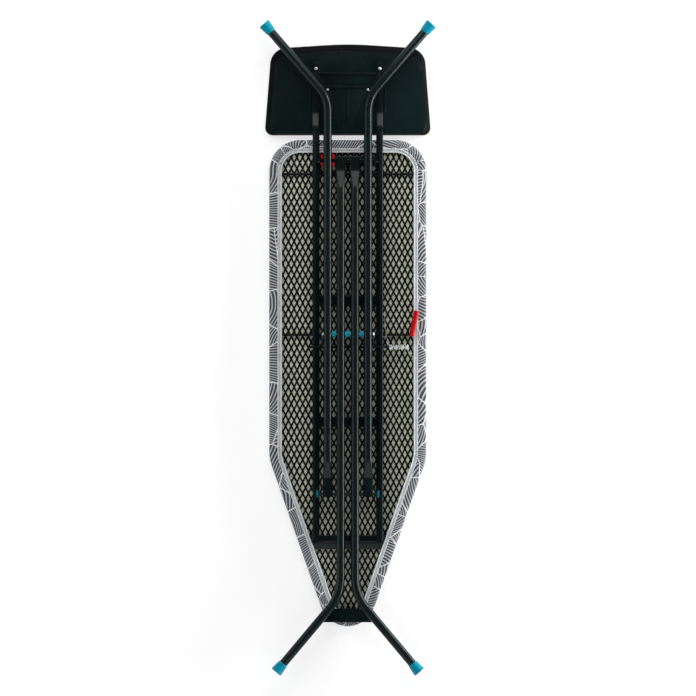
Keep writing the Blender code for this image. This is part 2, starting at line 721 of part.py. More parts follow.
def make_foot_cap(name, outer_end, direction, joint):
    """Tapered cap pushed over the end of a leg tube."""
    bore = LEG_RADIUS + GAP
    inner_end = -FOOT_LENGTH
    profile = [
        (0, 0), (FOOT_OUTER_RADIUS - 0.0015, 0), (FOOT_OUTER_RADIUS, -0.0015),
        (FOOT_INNER_RADIUS, inner_end), (bore, inner_end), (bore, -FOOT_SOLE), (0, -FOOT_SOLE)]
    bm = turned_bmesh(profile, along_axis(outer_end, direction))
    finish_mesh(name, bm, "teal_plastic", joint, smooth=True)


def make_leg_pair(leg, x, foot_x, flat, flat_z, bend_radius, splay, toward_foot, joint):
    """Both tubes and both feet of one leg."""
    for word, side in (("left", -1), ("right", 1)):
        outer_end = Vector((side * foot_x, toward_foot * FOOT_END_Y, LEG_Z))
        out = Vector((side * math.cos(splay), toward_foot * math.sin(splay), 0))
        tube_end = outer_end - out * (FOOT_SOLE + GAP)
        corner_y = toward_foot * (FOOT_END_Y - (foot_x - x) * math.tan(splay))
        stations = leg_stations(
            side * x, flat, flat_z, corner_y, bend_radius, splay, tube_end, toward_foot)
        make_leg_tube("%s_tube_%s" % (leg, word), stations, joint)
        make_foot_cap("%s_foot_%s" % (leg, word), outer_end, out, joint)


def make_inner_leg(joint):
    flat_z = PIVOT_Z + PIVOT_TUBE_RADIUS + GAP + FLAT_HALF_HEIGHT
    flat = (PIVOT_Y + 0.0095, PIVOT_Y - 0.0250, PIVOT_Y - 0.0700)
    make_leg_pair("inner", INNER_LEG_X, INNER_FOOT_X, flat, flat_z,
                  INNER_BEND_RADIUS, INNER_SPLAY, -1, joint)
    bm = rod_bmesh((-PIVOT_TUBE_END, PIVOT_Y, PIVOT_Z), (PIVOT_TUBE_END, PIVOT_Y, PIVOT_Z),
                   PIVOT_TUBE_RADIUS, capped=False)
    tube = finish_mesh("pivot_tube", bm, "black_paint", joint, smooth=True,
                       inside=(0, PIVOT_Y, PIVOT_Z))
    solidify(tube, LEG_WALL)


def make_outer_leg(joint):
    flat_z = PIVOT_Z + SLIDER_ROD_RADIUS + GAP + FLAT_HALF_HEIGHT
    flat = (SLIDER_Y - 0.0077, SLIDER_Y + 0.0400, SLIDER_Y + 0.0850)
    make_leg_pair("outer", OUTER_LEG_X, OUTER_FOOT_X, flat, flat_z,
                  OUTER_BEND_RADIUS, OUTER_SPLAY, 1, joint)
    rod("slider_rod", (-0.0860, SLIDER_Y, PIVOT_Z), (0.0860, SLIDER_Y, PIVOT_Z),
        SLIDER_ROD_RADIUS, "black_paint", joint, sides=12)


def make_centre_bolt(joint):
    """Bolt through all four tubes with a domed head, a domed nut and three spacers."""
    head_at = OUTER_LEG_X + LEG_RADIUS + GAP
    dome = [(0, 0.0060), (0.0030, 0.0054), (0.0050, 0.0035), (0.0060, 0)]
    shaft_end = -2 * head_at - 0.0030
    bolt = dome + [(BOLT_RADIUS, 0), (BOLT_RADIUS, shaft_end), (0, shaft_end)]
    spot = along_axis((-head_at, CENTRE_Y, LEG_Z), (-1, 0, 0))
    finish_mesh("centre_bolt", turned_bmesh(bolt, spot, 12), "zinc", joint, smooth=True)
    bore = BOLT_RADIUS + GAP
    nut = dome + [(bore, 0), (bore, 0.0036), (0, 0.0036)]
    spot = along_axis((head_at, CENTRE_Y, LEG_Z), (1, 0, 0))
    finish_mesh("centre_nut", turned_bmesh(nut, spot, 12), "zinc", joint, smooth=True)
    inner_face = INNER_LEG_X + LEG_RADIUS + GAP
    outer_face = OUTER_LEG_X - LEG_RADIUS - GAP
    middle = INNER_LEG_X - LEG_RADIUS - GAP
    spans = {"spacer_left": (-outer_face, -inner_face), "spacer_centre": (-middle, middle),
             "spacer_right": (inner_face, outer_face)}
    for name, (x0, x1) in spans.items():
        length = x1 - x0
        ring = [(bore, 0), (SPACER_RADIUS, 0), (SPACER_RADIUS, length), (bore, length),
                (bore, 0)]
        spot = along_axis((x0, CENTRE_Y, LEG_Z), (1, 0, 0))
        finish_mesh(name, turned_bmesh(ring, spot), "teal_plastic", joint, smooth=True)


def make_shoe(name, side, joint):
    """Plastic block that runs in the rail on the end of the slider rod."""
    x_in, x_out = SHOE_X
    low, high = mirror_box(side, x_in, x_out, SLIDER_Y - SHOE_HALF_LENGTH,
                           SLIDER_Y + SHOE_HALF_LENGTH, PIVOT_Z - SHOE_HALF_HEIGHT,
                           PIVOT_Z + SHOE_HALF_HEIGHT)
    shoe = box(name, low, high, "teal_plastic", joint)
    bevel(shoe, 0.0012)
    drill(shoe, name + "_bore", (low[0] - CUT, SLIDER_Y, PIVOT_Z),
          (high[0] + CUT, SLIDER_Y, PIVOT_Z), SLIDER_ROD_RADIUS + GAP)


# ======================================================================================
# height lever
# ======================================================================================
def grip_direction():
    return Vector((math.sin(GRIP_TILT), math.cos(GRIP_TILT), 0))


def make_lever(joint):
    corner = Vector((LEVER_RIGHT_X, LEVER_Y, GRIP_Z))
    tip = corner + grip_direction() * (GRIP_LENGTH - 0.004)
    path = bent_path([(LEVER_LEFT_X, LEVER_Y, LEVER_Z), (LEVER_RIGHT_X, LEVER_Y, LEVER_Z),
                      corner, tip], 0.006)
    wire("lever_rod", path, LEVER_ROD_RADIUS, "black_paint", joint, resolution=2)
    rod("lock_bar", (LOCK_LEFT_X, LOCK_Y, LOCK_Z), (LOCK_RIGHT_X, LOCK_Y, LOCK_Z),
        LEVER_ROD_RADIUS, "black_paint", joint, sides=12)
    for word, side in (("left", -1), ("right", 1)):
        make_lock_arm("lock_arm_" + word, side, joint)


def make_lever_grip(joint):
    """Red sleeve over the bent end of the lever rod, oval in section."""
    start = Vector((LEVER_RIGHT_X, LEVER_Y, GRIP_Z)) + grip_direction() * 0.0065
    bore = LEVER_ROD_RADIUS + GAP
    end = GRIP_LENGTH - 0.0065
    profile = [(bore, 0), (0.0055, 0), (0.0066, 0.0012), (0.0066, end - 0.0015),
               (0.0050, end), (0, end), (0, end - 0.0025), (bore, end - 0.0025), (bore, 0)]
    bm = turned_bmesh(profile, Matrix.Identity(4), TUBE_SIDES)
    flatten = 0.72
    outer = [v for v in bm.verts if math.hypot(v.co.x, v.co.y) > bore + 1e-4]
    bmesh.ops.scale(bm, vec=(flatten, 1, 1), verts=outer)
    bmesh.ops.transform(bm, matrix=along_axis(start, grip_direction()), verts=bm.verts)
    finish_mesh("lever_grip", bm, "red_plastic", joint, smooth=True)


def make_lock_arm(name, side, joint):
    """Flat arm from the lever rod to the lock bar."""
    bm = pulled_face([(side * LOCK_ARM_X, y, z) for y, z in LOCK_ARM_OUTLINE],
                     (side * LOCK_ARM_THICKNESS, 0, 0))
    arm = finish_mesh(name, bm, "black_paint", joint)
    for label, y, z in (("rod", LEVER_Y, LEVER_Z), ("bar", LOCK_Y, LOCK_Z)):
        drill(arm, "%s_%s_hole" % (name, label), (side * (LOCK_ARM_X - CUT), y, z),
              (side * (LOCK_ARM_X + CUT), y, z), LEVER_ROD_RADIUS + GAP)


# ======================================================================================
def build():
    clear_scene()
    inner_joint = joint_empty("inner_leg_axis", PIVOT_Y, PIVOT_Z)
    outer_joint = joint_empty("outer_leg_axis", CENTRE_Y, LEG_Z)
    slider_joint = joint_empty("slider_axis", SLIDER_Y, PIVOT_Z)
    lever_joint = joint_empty("lever_axis", LEVER_Y, LEVER_Z)

    make_cover()
    make_board_core()
    for word, side in (("left", -1), ("right", 1)):
        make_rail("rail_" + word, side)
        make_pivot_bracket("pivot_bracket_" + word, side)
        make_lever_saddle("lever_saddle_" + word, side)
        make_shoe("shoe_" + word, side, slider_joint)
    for name, (y0, y1) in BRACES.items():
        make_brace(name, y0, y1)
    make_nose_bar()
    make_nose_cap()
    make_head_rod()
    make_transport_clip()
    make_return_spring()
    make_iron_rest()
    make_screws()
    make_inner_leg(inner_joint)
    make_outer_leg(outer_joint)
    make_centre_bolt(outer_joint)
    make_lever(lever_joint)
    make_lever_grip(lever_joint)


build()
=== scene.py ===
# Folding ironing board with an iron rest, folded flat and lying on its ironing face.
# Metres, +Z up, +Y towards the head with the iron rest.
import functools
import json
import math

import bmesh
import bpy
from mathutils import Matrix, Vector, noise


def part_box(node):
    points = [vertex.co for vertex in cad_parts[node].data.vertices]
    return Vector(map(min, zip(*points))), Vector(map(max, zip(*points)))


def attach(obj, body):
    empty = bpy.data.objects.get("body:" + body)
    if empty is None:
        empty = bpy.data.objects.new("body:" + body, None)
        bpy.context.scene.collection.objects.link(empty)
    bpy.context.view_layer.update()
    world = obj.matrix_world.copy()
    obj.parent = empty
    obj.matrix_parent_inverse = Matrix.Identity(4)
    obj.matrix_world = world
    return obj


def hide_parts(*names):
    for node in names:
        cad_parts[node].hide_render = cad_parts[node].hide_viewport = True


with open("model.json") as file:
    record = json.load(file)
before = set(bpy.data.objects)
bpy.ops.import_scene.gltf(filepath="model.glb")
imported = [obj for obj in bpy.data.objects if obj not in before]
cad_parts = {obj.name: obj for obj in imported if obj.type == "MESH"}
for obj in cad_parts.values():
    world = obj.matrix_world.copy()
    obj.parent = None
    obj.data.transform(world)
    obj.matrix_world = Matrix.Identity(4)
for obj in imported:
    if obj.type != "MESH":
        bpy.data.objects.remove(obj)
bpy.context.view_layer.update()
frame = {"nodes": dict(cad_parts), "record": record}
mm = 0.001
sides = (("Left", "left", -1), ("Right", "right", 1))
print("frame loaded:", len(frame["nodes"]), "nodes")


# nodes and colours
def hexColour(text):
    channels = [int(text[i:i + 2], 16) / 255 for i in (1, 3, 5)]
    return tuple(c / 12.92 if c <= 0.04045 else ((c + 0.055) / 1.055) ** 2.4 for c in channels) + (1.0,)


def addNode(tree, kind, settings=None, links=None):
    # a hex colour is turned to linear, and a linked node gives its first output
    node = tree.nodes.new("ShaderNode" + kind)
    for key, value in (settings or {}).items():
        if isinstance(key, str) and hasattr(node, key):
            setattr(node, key, value)
        else:
            node.inputs[key].default_value = hexColour(value) if isinstance(value, str) else value
    for key, source in (links or {}).items():
        output = source.outputs[0] if isinstance(source, bpy.types.Node) else source
        tree.links.new(output, node.inputs[key])
    return node


def startMaterial(name, colour, roughness, sockets=None):
    # gives the material, a function that adds to its nodes, and the object's coordinates
    material = bpy.data.materials.new(name)
    material.use_nodes = True
    material.diffuse_color = hexColour(colour)
    shader = material.node_tree.nodes["Principled BSDF"]
    plain = {"Base Color": hexColour(colour), "Roughness": roughness, **(sockets or {})}
    for key, value in plain.items():
        shader.inputs[key].default_value = value
    add = functools.partial(addNode, material.node_tree)
    return material, add, add("TexCoord").outputs["Object"]


def plugIn(material, tint, rough=None, bump=None):
    # the tint is a colour Mix, whose result is its third output
    tree = material.node_tree
    shader = tree.nodes["Principled BSDF"]
    for socket, node, output in (("Base Color", tint, 2), ("Roughness", rough, 0), ("Normal", bump, 0)):
        if node:
            tree.links.new(node.outputs[output], shader.inputs[socket])
    return material


# Polyester powder coat, baked on steel: green-black, satin, with a faint orange peel and rubbed streaks.
def powderCoat(name, colour, worn, roughness, gloss, streakAxis=(1, 0.03, 1)):
    material, add, place = startMaterial(name, colour, roughness, {"Specular IOR Level": gloss})
    cloud = add("TexNoise", {"Scale": 1 / (45 * mm), "Detail": 3.0}, {"Vector": place})
    stretched = add("Mapping", {"Scale": streakAxis}, {"Vector": place})
    streak = add("TexNoise", {"Scale": 1 / (1.6 * mm), "Detail": 4.0}, {"Vector": stretched})
    rubbed = add("MapRange", {"From Min": 0.60, "From Max": 0.78, "To Max": 0.35}, {0: streak})
    patchy = add("Math", {"operation": "MULTIPLY"}, {0: rubbed, 1: cloud})
    tint = add("Mix", {"data_type": "RGBA", 6: colour, 7: worn}, {0: patchy})
    rough = add("MapRange", {"To Min": roughness - 0.06, "To Max": roughness + 0.10}, {0: cloud})
    peel = add("TexNoise", {"Scale": 1 / (1.4 * mm), "Detail": 1.0}, {"Vector": place})
    bump = add("Bump", {"Strength": 0.5, "Distance": 0.03 * mm}, {"Height": peel})
    return plugIn(material, tint, rough, bump)


# Injection-moulded polymer with a spark-eroded grain: the eye sees a dull skin with slow flow clouds.
def mouldedPlastic(name, colour, cloudColour, roughness, grain, cloudSize=30 * mm, gloss=0.3):
    material, add, place = startMaterial(name, colour, roughness,
        {"IOR": 1.49, "Specular IOR Level": gloss})
    cloud = add("TexNoise", {"Scale": 1 / cloudSize, "Detail": 2.0, "Distortion": 0.8}, {"Vector": place})
    tint = add("Mix", {"data_type": "RGBA", 6: colour, 7: cloudColour}, {0: cloud})
    rough = add("MapRange", {"To Min": roughness - 0.07, "To Max": roughness + 0.08}, {0: cloud})
    pits = add("TexVoronoi", {"Scale": 1 / grain, "Randomness": 1.0}, {"Vector": place})
    bump = add("Bump", {"Strength": 0.6, "Distance": 0.02 * mm}, {"Height": pits})
    return plugIn(material, tint, rough, bump)


# Black polypropylene of the iron rest: grained, faintly green panel; its sloping sides are rougher and
# painted near-black as shade, since they catch no light.
def restPlastic():
    material = mouldedPlastic("mouldedPolypropyleneBlack", "#0C1717", "#121F20", 0.30, 0.9 * mm, gloss=0.07)
    add = functools.partial(addNode, material.node_tree)
    shader = material.node_tree.nodes["Principled BSDF"]
    tint, rough = (shader.inputs[key].links[0].from_socket for key in ("Base Color", "Roughness"))
    height = add("SeparateXYZ", {}, {0: add("TexCoord").outputs["Object"]})
    # painted shade: below the panel's height the colour goes to near-black #030809 on the sloping sides
    panel = add("MapRange", {"From Min": 13.6 * mm, "From Max": 15.0 * mm}, {0: height.outputs[2]})
    slopeShade = add("Mix", {"data_type": "RGBA", 6: "#030809"}, {0: panel, 7: tint})
    dull = add("Mix", {"data_type": "FLOAT", 2: 0.62}, {0: panel, 3: rough})
    return plugIn(material, slopeShade, dull)


# Bright zinc electroplate with a clear passivation: blue-white metal, slightly uneven in gloss.
def zincPlate():
    material, add, place = startMaterial("zincPlatedSteel", "#C6C9CC", 0.30, {"Metallic": 1.0})
    cloud = add("TexNoise", {"Scale": 1 / (4 * mm), "Detail": 3.0}, {"Vector": place})
    tint = add("Mix", {"data_type": "RGBA", 6: "#C4C9D0", 7: "#E8E6E0"}, {0: cloud})
    rough = add("MapRange", {"To Min": 0.38, "To Max": 0.58}, {0: cloud})
    fine = add("TexNoise", {"Scale": 1 / (0.5 * mm), "Detail": 2.0}, {"Vector": place})
    bump = add("Bump", {"Strength": 0.3, "Distance": 0.01 * mm}, {"Height": fine})
    return plugIn(material, tint, rough, bump)


# Printed cotton: patches of curved grey stripes with white veins between them, on a plain weave.
# The weave is drawn at 1 mm, coarser than real thread, so that it shows up close.
cottonPrint = {
    "patch": 82 * mm, "finePitch": 6.6 * mm, "coarsePitch": 11.4 * mm, "curve": 7.0, "slant": 0.55,
    "dark": "#40434B", "pale": "#C3C7CB", "vein": "#F2F3F4", "thread": 1.0 * mm,
}
bandsPerUnit = 3.2  # Wave texture bands in one unit of its scale


def printedCotton():
    p = cottonPrint
    material, add, _ = startMaterial("printedCotton", p["dark"], 0.88, {"Sheen Weight": 0.15})
    flat = add("UVMap", {"uv_map": "flat"}).outputs[0]
    wobble = add("TexNoise", {"Scale": 1 / (70 * mm), "Detail": 1.0}, {"Vector": flat})
    bent = add("VectorMath", {"operation": "MULTIPLY_ADD", 1: (12 * mm,) * 3},
        {0: wobble.outputs["Color"], 2: flat})
    cellSettings = {"voronoi_dimensions": "2D", "Scale": 1 / p["patch"], "Randomness": 0.85}
    cell = add("TexVoronoi", cellSettings, {"Vector": bent})
    border = add("TexVoronoi", {"feature": "DISTANCE_TO_EDGE", **cellSettings}, {"Vector": bent})
    chance = add("SeparateColor", {}, {0: cell.outputs["Color"]})
    local = add("VectorMath", {"operation": "SUBTRACT"}, {0: bent, 1: cell.outputs["Position"]})
    angle = add("Math", {"operation": "MULTIPLY", 1: math.tau}, {0: chance})
    turned = add("VectorRotate", {"rotation_type": "Z_AXIS"}, {"Vector": local, "Angle": angle})
    axes = add("SeparateXYZ", {}, {0: turned})
    mirrored = add("Math", {"operation": "ABSOLUTE"}, {0: axes.outputs[1]})
    ribbed = add("Math", {"operation": "GREATER_THAN", 1: 0.62}, {0: chance.outputs[2]})
    across = add("Mix", {"data_type": "FLOAT"}, {0: ribbed, 2: axes.outputs[1], 3: mirrored})
    square = add("Math", {"operation": "POWER", 1: 2.0}, {0: across})
    slanted = add("Math", {"operation": "MULTIPLY_ADD", 1: p["slant"]}, {0: across, 2: axes})
    curved = add("Math", {"operation": "MULTIPLY_ADD", 1: p["curve"]}, {0: square, 2: slanted})
    turns = add("MapRange", {"To Min": math.tau / p["coarsePitch"], "To Max": math.tau / p["finePitch"]},
        {0: chance.outputs[1]})
    phase = add("Math", {"operation": "MULTIPLY"}, {0: curved, 1: turns})
    wave = add("Math", {"operation": "SINE"}, {0: phase})
    stripe = add("MapRange", {"From Min": 0.22, "From Max": 0.74}, {0: wave})
    inked = add("Mix", {"data_type": "RGBA", 6: p["dark"], 7: p["pale"]}, {0: stripe})
    vein = add("MapRange", {"From Min": 0.020, "From Max": 0.010}, {0: border.outputs["Distance"]})
    midrib = add("MapRange", {"From Min": 1.3 * mm, "From Max": 0.6 * mm}, {0: mirrored})
    ribLine = add("Math", {"operation": "MULTIPLY"}, {0: midrib, 1: ribbed})
    lines = add("Math", {"operation": "MAXIMUM"}, {0: vein, 1: ribLine})
    pattern = add("Mix", {"data_type": "RGBA", 7: p["vein"]}, {0: lines, 6: inked.outputs[2]})
    warp, weft = (add("TexWave", {"bands_direction": axis, "Scale": 1 / p["thread"] / bandsPerUnit},
        {"Vector": flat}).outputs[1] for axis in ("X", "Y"))
    weave = add("Math", {"operation": "MAXIMUM"}, {0: warp, 1: weft})
    bump = add("Bump", {"Strength": 0.6, "Distance": 0.05 * mm}, {"Height": weave})
    return plugIn(material, pattern, None, bump)


# Gathered cotton binding with two elastic edges: pale and ribbed across, with painted shade in the grooves
# between the ribs, deeper in patches.
def gatheredBinding():
    material, add, _ = startMaterial("gatheredBinding", "#D2D6D9", 0.90, {"Sheen Weight": 0.2})
    flat = add("UVMap", {"uv_map": "flat"}).outputs[0]
    slanted = add("Mapping", {"Rotation": (0, 0, math.radians(24))}, {"Vector": flat})
    ribs = add("TexWave", {"bands_direction": "X", "Scale": 1 / (3.4 * mm) / bandsPerUnit,
        "Distortion": 2.0, "Detail": 1.0}, {"Vector": slanted}).outputs[1]
    # painted shade: the rib grooves are tinted grey, darker in some patches, where the folds would lie in
    # shadow
    patch = add("TexNoise", {"Scale": 1 / (14 * mm), "Detail": 2.0}, {"Vector": flat})
    deep = add("MapRange", {"From Min": 0.3, "From Max": 0.7, "To Min": 0.25, "To Max": 1.0}, {0: patch})
    shade = add("Math", {"operation": "MULTIPLY"}, {0: ribs, 1: deep})
    tint = add("Mix", {"data_type": "RGBA", 6: "#CCD1D3", 7: "#747A80"}, {0: shade})
    across = add("SeparateXYZ", {}, {0: flat})
    offCentre = add("Math", {"operation": "SUBTRACT", 1: 5.6 * mm}, {0: across.outputs[1]})
    distance = add("Math", {"operation": "ABSOLUTE"}, {0: offCentre})
    selvedge = add("MapRange", {"From Min": 2.6 * mm, "From Max": 3.5 * mm}, {0: distance})
    edged = add("Mix", {"data_type": "RGBA", 7: "#E2E6E7"}, {0: selvedge, 6: tint.outputs[2]})
    bump = add("Bump", {"Strength": 0.8, "Distance": 0.25 * mm}, {"Height": ribs})
    return plugIn(material, edged, None, bump)


# Needled recycled felt: grey-green fibre mat with darker and paler flecks.
def needledFelt():
    material, add, place = startMaterial("needledFelt", "#D8DCC8", 0.95, {"Sheen Weight": 0.3})
    fibres = add("TexNoise", {"Scale": 1 / (2.2 * mm), "Detail": 6.0, "Distortion": 2.0}, {"Vector": place})
    clumps = add("TexNoise", {"Scale": 1 / (16 * mm), "Detail": 2.0}, {"Vector": place})
    tint = add("Mix", {"data_type": "RGBA", 6: "#CACFBA", 7: "#FFFFEE"}, {0: fibres})
    warm = add("Mix", {"data_type": "RGBA", "blend_type": "MULTIPLY", 7: "#F2F4E8"},
        {0: clumps, 6: tint.outputs[2]})
    bump = add("Bump", {"Strength": 0.8, "Distance": 0.3 * mm}, {"Height": fibres})
    return plugIn(material, warm, None, bump)


finishes = {
    "tube": powderCoat("powderCoatedTube", "#0C1A1A", "#223030", 0.24, 0.20),
    "sheet": powderCoat("powderCoatedSheet", "#0B1717", "#1F2B2B", 0.28, 0.22),
    "wire": powderCoat("powderCoatedWire", "#030808", "#141C1C", 0.30, 0.12, (0.03, 1, 1)),
    "mesh": powderCoat("dippedEnamelMesh", "#020303", "#0C0F0F", 0.40, 0.20, (1, 1, 1)),
    "rest": restPlastic(),
    "pad": mouldedPlastic("mouldedPolyethyleneGrey", "#3C4544", "#444D4B", 0.55, 1.0 * mm),
    "teal": mouldedPlastic("softVinylTeal", "#007F97", "#008CA4", 0.42, 0.8 * mm, 18 * mm, 0.14),
    "red": mouldedPlastic("mouldedNylonRed", "#A6000D", "#B4000F", 0.38, 0.7 * mm, 20 * mm, 0.2),
    "zinc": zincPlate(),
    "cotton": printedCotton(),
    "binding": gatheredBinding(),
    "felt": needledFelt(),
}
print("materials made:", len(finishes))


# general shaping
def finishPiece(name, bm, finish, body, replaced=(), recalculate=True, sharpAngle=35):
    bmesh.ops.remove_doubles(bm, verts=bm.verts, dist=1e-6)
    if recalculate:
        bmesh.ops.recalc_face_normals(bm, faces=bm.faces)
    mesh = bpy.data.meshes.new(name)
    bm.to_mesh(mesh)
    bm.free()
    mesh.shade_smooth()
    mesh.set_sharp_from_angle(angle=math.radians(sharpAngle))
    piece = bpy.data.objects.new(name, mesh)
    bpy.context.scene.collection.objects.link(piece)
    mesh.materials.append(finishes[finish])
    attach(piece, body)
    if replaced:
        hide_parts(*replaced)
    return piece


def addWall(piece, thickness, offset=0.0):
    wall = piece.modifiers.new("wall", "SOLIDIFY")
    wall.thickness = thickness
    wall.offset = offset
    wall.use_even_offset = True


def addSoftEdge(piece, width, segments=2, angle=40):
    edge = piece.modifiers.new("softEdge", "BEVEL")
    edge.width = width
    edge.segments = segments
    edge.limit_method = "ANGLE"
    edge.angle_limit = math.radians(angle)
    edge.harden_normals = False


def bakeShape(piece):
    evaluated = piece.evaluated_get(bpy.context.evaluated_depsgraph_get())
    shaped = bpy.data.meshes.new_from_object(evaluated)
    piece.modifiers.clear()
    piece.data = shaped


def cutWith(piece, *cutters):
    # the cutters are bmeshes; their hollows stay in the piece's own mesh
    for bm in cutters:
        bmesh.ops.recalc_face_normals(bm, faces=bm.faces)
        mesh = bpy.data.meshes.new("cutter")
        bm.to_mesh(mesh)
        bm.free()
        cutter = bpy.data.objects.new("cutter", mesh)
        bpy.context.scene.collection.objects.link(cutter)
        step = piece.modifiers.new("cut", "BOOLEAN")
        step.object = cutter
        bakeShape(piece)
        bpy.data.objects.remove(cutter)


def roundOff(bm, geom, offset, segments, affect="EDGES"):
    bmesh.ops.bevel(bm, geom=geom, offset=offset, segments=segments, profile=0.5, affect=affect,
        material=-1)


def edgesAlong(bm, axis, least=5 * mm):
    return [e for e in bm.edges if abs(e.verts[0].co[axis] - e.verts[1].co[axis]) > least]


def vertsOf(made):
    return [g for g in made if isinstance(g, bmesh.types.BMVert)]


def alongAxis(origin, direction):
    return Matrix.Translation(origin) @ Vector(direction).to_track_quat("Z", "Y").to_matrix().to_4x4()


def newRod(start, end, radius, segments=24):
    bm = bmesh.new()
    start, end = Vector(start), Vector(end)
    bmesh.ops.create_cone(bm, cap_ends=True, segments=segments, radius1=radius, radius2=radius,
                          depth=(end - start).length, matrix=alongAxis((start + end) / 2, end - start))
    return bm


def rodAcross(x0, x1, y, z, radius, segments=24):
    return newRod((x0, y, z), (x1, y, z), radius, segments)


def newBlock(low, high, radius=0.0, segments=3):
    bm = bmesh.new()
    low, high = Vector(low), Vector(high)
    bmesh.ops.create_cube(bm, size=1.0, matrix=Matrix.Translation((low + high) / 2)
                          @ Matrix.Diagonal((*(high - low), 1.0)))
    if radius:
        roundOff(bm, bm.edges[:], radius, segments)
    return bm


def newTurned(profile, matrix, steps=32):
    # profile points are (radius, height) about the local Z axis
    bm = bmesh.new()
    verts = [bm.verts.new((r, 0, z)) for r, z in profile]
    edges = [bm.edges.new(pair) for pair in zip(verts, verts[1:])]
    bmesh.ops.spin(bm, geom=verts + edges, cent=(0, 0, 0), axis=(0, 0, 1), angle=math.tau, steps=steps,
                   use_merge=True)
    bmesh.ops.remove_doubles(bm, verts=bm.verts, dist=1e-6)
    bmesh.ops.transform(bm, matrix=matrix, verts=bm.verts)
    return bm


def newPulled(points, run):
    bm = bmesh.new()
    face = bm.faces.new([bm.verts.new(p) for p in points])
    grown = bmesh.ops.extrude_face_region(bm, geom=[face])
    bmesh.ops.translate(bm, verts=vertsOf(grown["geom"]), vec=run)
    return bm


def newWire(points, radius, sides=3):
    # round wire through the points, its ends closed
    curve = bpy.data.curves.new("wire", "CURVE")
    curve.dimensions = "3D"
    curve.bevel_depth = radius
    curve.bevel_resolution = sides
    curve.use_fill_caps = True
    spline = curve.splines.new("POLY")
    spline.points.add(len(points) - 1)
    for spot, point in zip(spline.points, points):
        spot.co = (*point, 1.0)
    holder = bpy.data.objects.new("wire", curve)
    bpy.context.scene.collection.objects.link(holder)
    mesh = bpy.data.meshes.new_from_object(holder.evaluated_get(bpy.context.evaluated_depsgraph_get()))
    bm = bmesh.new()
    bm.from_mesh(mesh)
    bpy.data.objects.remove(holder)
    return bm


def smoothPath(points, steps=6):
    # a curve through the given points
    points = [Vector(p) for p in points]
    padded = [points[0] * 2 - points[1]] + points + [points[-1] * 2 - points[-2]]
    path = []
    for a, b, c, d in zip(padded, padded[1:], padded[2:], padded[3:]):
        for k in range(steps):
            t = k / steps
            path.append(0.5 * (2 * b + (c - a) * t + (2 * a - 5 * b + 4 * c - d) * t * t
                               + (3 * b - a - 3 * c + d) * t ** 3))
    return path + [points[-1]]


def joinShapes(*shapes):
    whole = shapes[0]
    for part in shapes[1:]:
        mesh = bpy.data.meshes.new("part")
        part.to_mesh(mesh)
        part.free()
        whole.from_mesh(mesh)
        bpy.data.meshes.remove(mesh)
    return whole


def roundedOutline(corners, spacing=None, steps=12):
    # corners are (x, y, radius), anticlockwise; with a spacing the points are evenly spread
    points = []
    count = len(corners)
    arcs = []
    for i, (x, y, radius) in enumerate(corners):
        here = Vector((x, y, 0))
        toLast = (Vector((*corners[i - 1][:2], 0)) - here).normalized()
        toNext = (Vector((*corners[(i + 1) % count][:2], 0)) - here).normalized()
        half = toLast.angle(toNext) / 2
        centre = here + (toLast + toNext).normalized() * radius / math.sin(half)
        first = here + toLast * radius / math.tan(half) - centre
        sweep = math.pi - 2 * half
        arcSteps = max(3, round(sweep * radius / spacing)) if spacing else steps
        arcs.append([centre + Matrix.Rotation(sweep * k / arcSteps, 3, "Z") @ first
                     for k in range(arcSteps + 1)])
    for arc, following in zip(arcs, arcs[1:] + arcs[:1]):
        points += arc
        run = following[0] - arc[-1]
        straightSteps = max(1, round(run.length / spacing)) if spacing else steps
        points += [arc[-1] + run * k / straightSteps for k in range(1, straightSteps)]
    return points


def newRing(bm, points):
    verts = [bm.verts.new(p) for p in points]
    for a, b in zip(verts, verts[1:] + verts[:1]):
        bm.edges.new((a, b))
    return verts


def followRing(bm, ring):
    # extrudes a ring and gives the new one in the same order
    pairs = zip(ring, ring[1:] + ring[:1])
    edges = [next(e for e in a.link_edges if e.other_vert(a) == b) for a, b in pairs]
    made = bmesh.ops.extrude_edge_only(bm, edges=edges)
    fresh = set(vertsOf(made["geom"]))
    return [next(e.other_vert(v) for e in v.link_edges if e.other_vert(v) in fresh) for v in ring]


def pullRing(bm, verts, run):
    # extrudes an unordered ring of a tube along a run
    inside = set(verts)
    edges = {e for v in verts for e in v.link_edges if e.other_vert(v) in inside}
    fresh = vertsOf(bmesh.ops.extrude_edge_only(bm, edges=list(edges))["geom"])
    bmesh.ops.translate(bm, verts=fresh, vec=run)
    return fresh


# the board's outline, which the cover, tape, felt and mesh follow
board = {
    "halfWidth": 0.202, "headY": 0.5343, "taper": math.radians(19.3), "taperAtOrigin": 0.30205,
    "headRadius": 0.080, "shoulderRadius": 0.110, "noseRadius": 0.0724,
}


def boardOutline(spacing, inset=0.0):
    b = board
    half = b["halfWidth"] - inset
    slope = math.tan(b["taper"])
    taper = b["taperAtOrigin"] - inset / math.cos(b["taper"])
    head = b["headY"] - inset
    shoulder = (half - taper) / slope
    return roundedOutline([
        (half, shoulder, b["shoulderRadius"] - inset), (half, head, b["headRadius"] - inset),
        (-half, head, b["headRadius"] - inset), (-half, shoulder, b["shoulderRadius"] - inset),
        (0.0, -taper / slope, b["noseRadius"] - inset)], spacing)


def outwardOf(points):
    around = zip(points[-1:] + points[:-1], points[1:] + points[:1])
    return [Vector((b.y - a.y, a.x - b.x, 0)).normalized() for a, b in around]


def distanceAlong(points):
    along = [0.0]
    for a, b in zip(points, points[1:]):
        along.append(along[-1] + (b - a).length)
    return along, along[-1] + (points[0] - points[-1]).length


def cornerSharpness(points, reach):
    # 0 on the straights and 1 in the tight corners, eased over a few points
    outward = outwardOf(points)
    count = len(points)
    turns = [outward[i - reach].angle(outward[(i + reach) % count]) for i in range(count)]
    steepest = max(turns)
    return [min(1.0, t / steepest * 1.3) for t in turns]


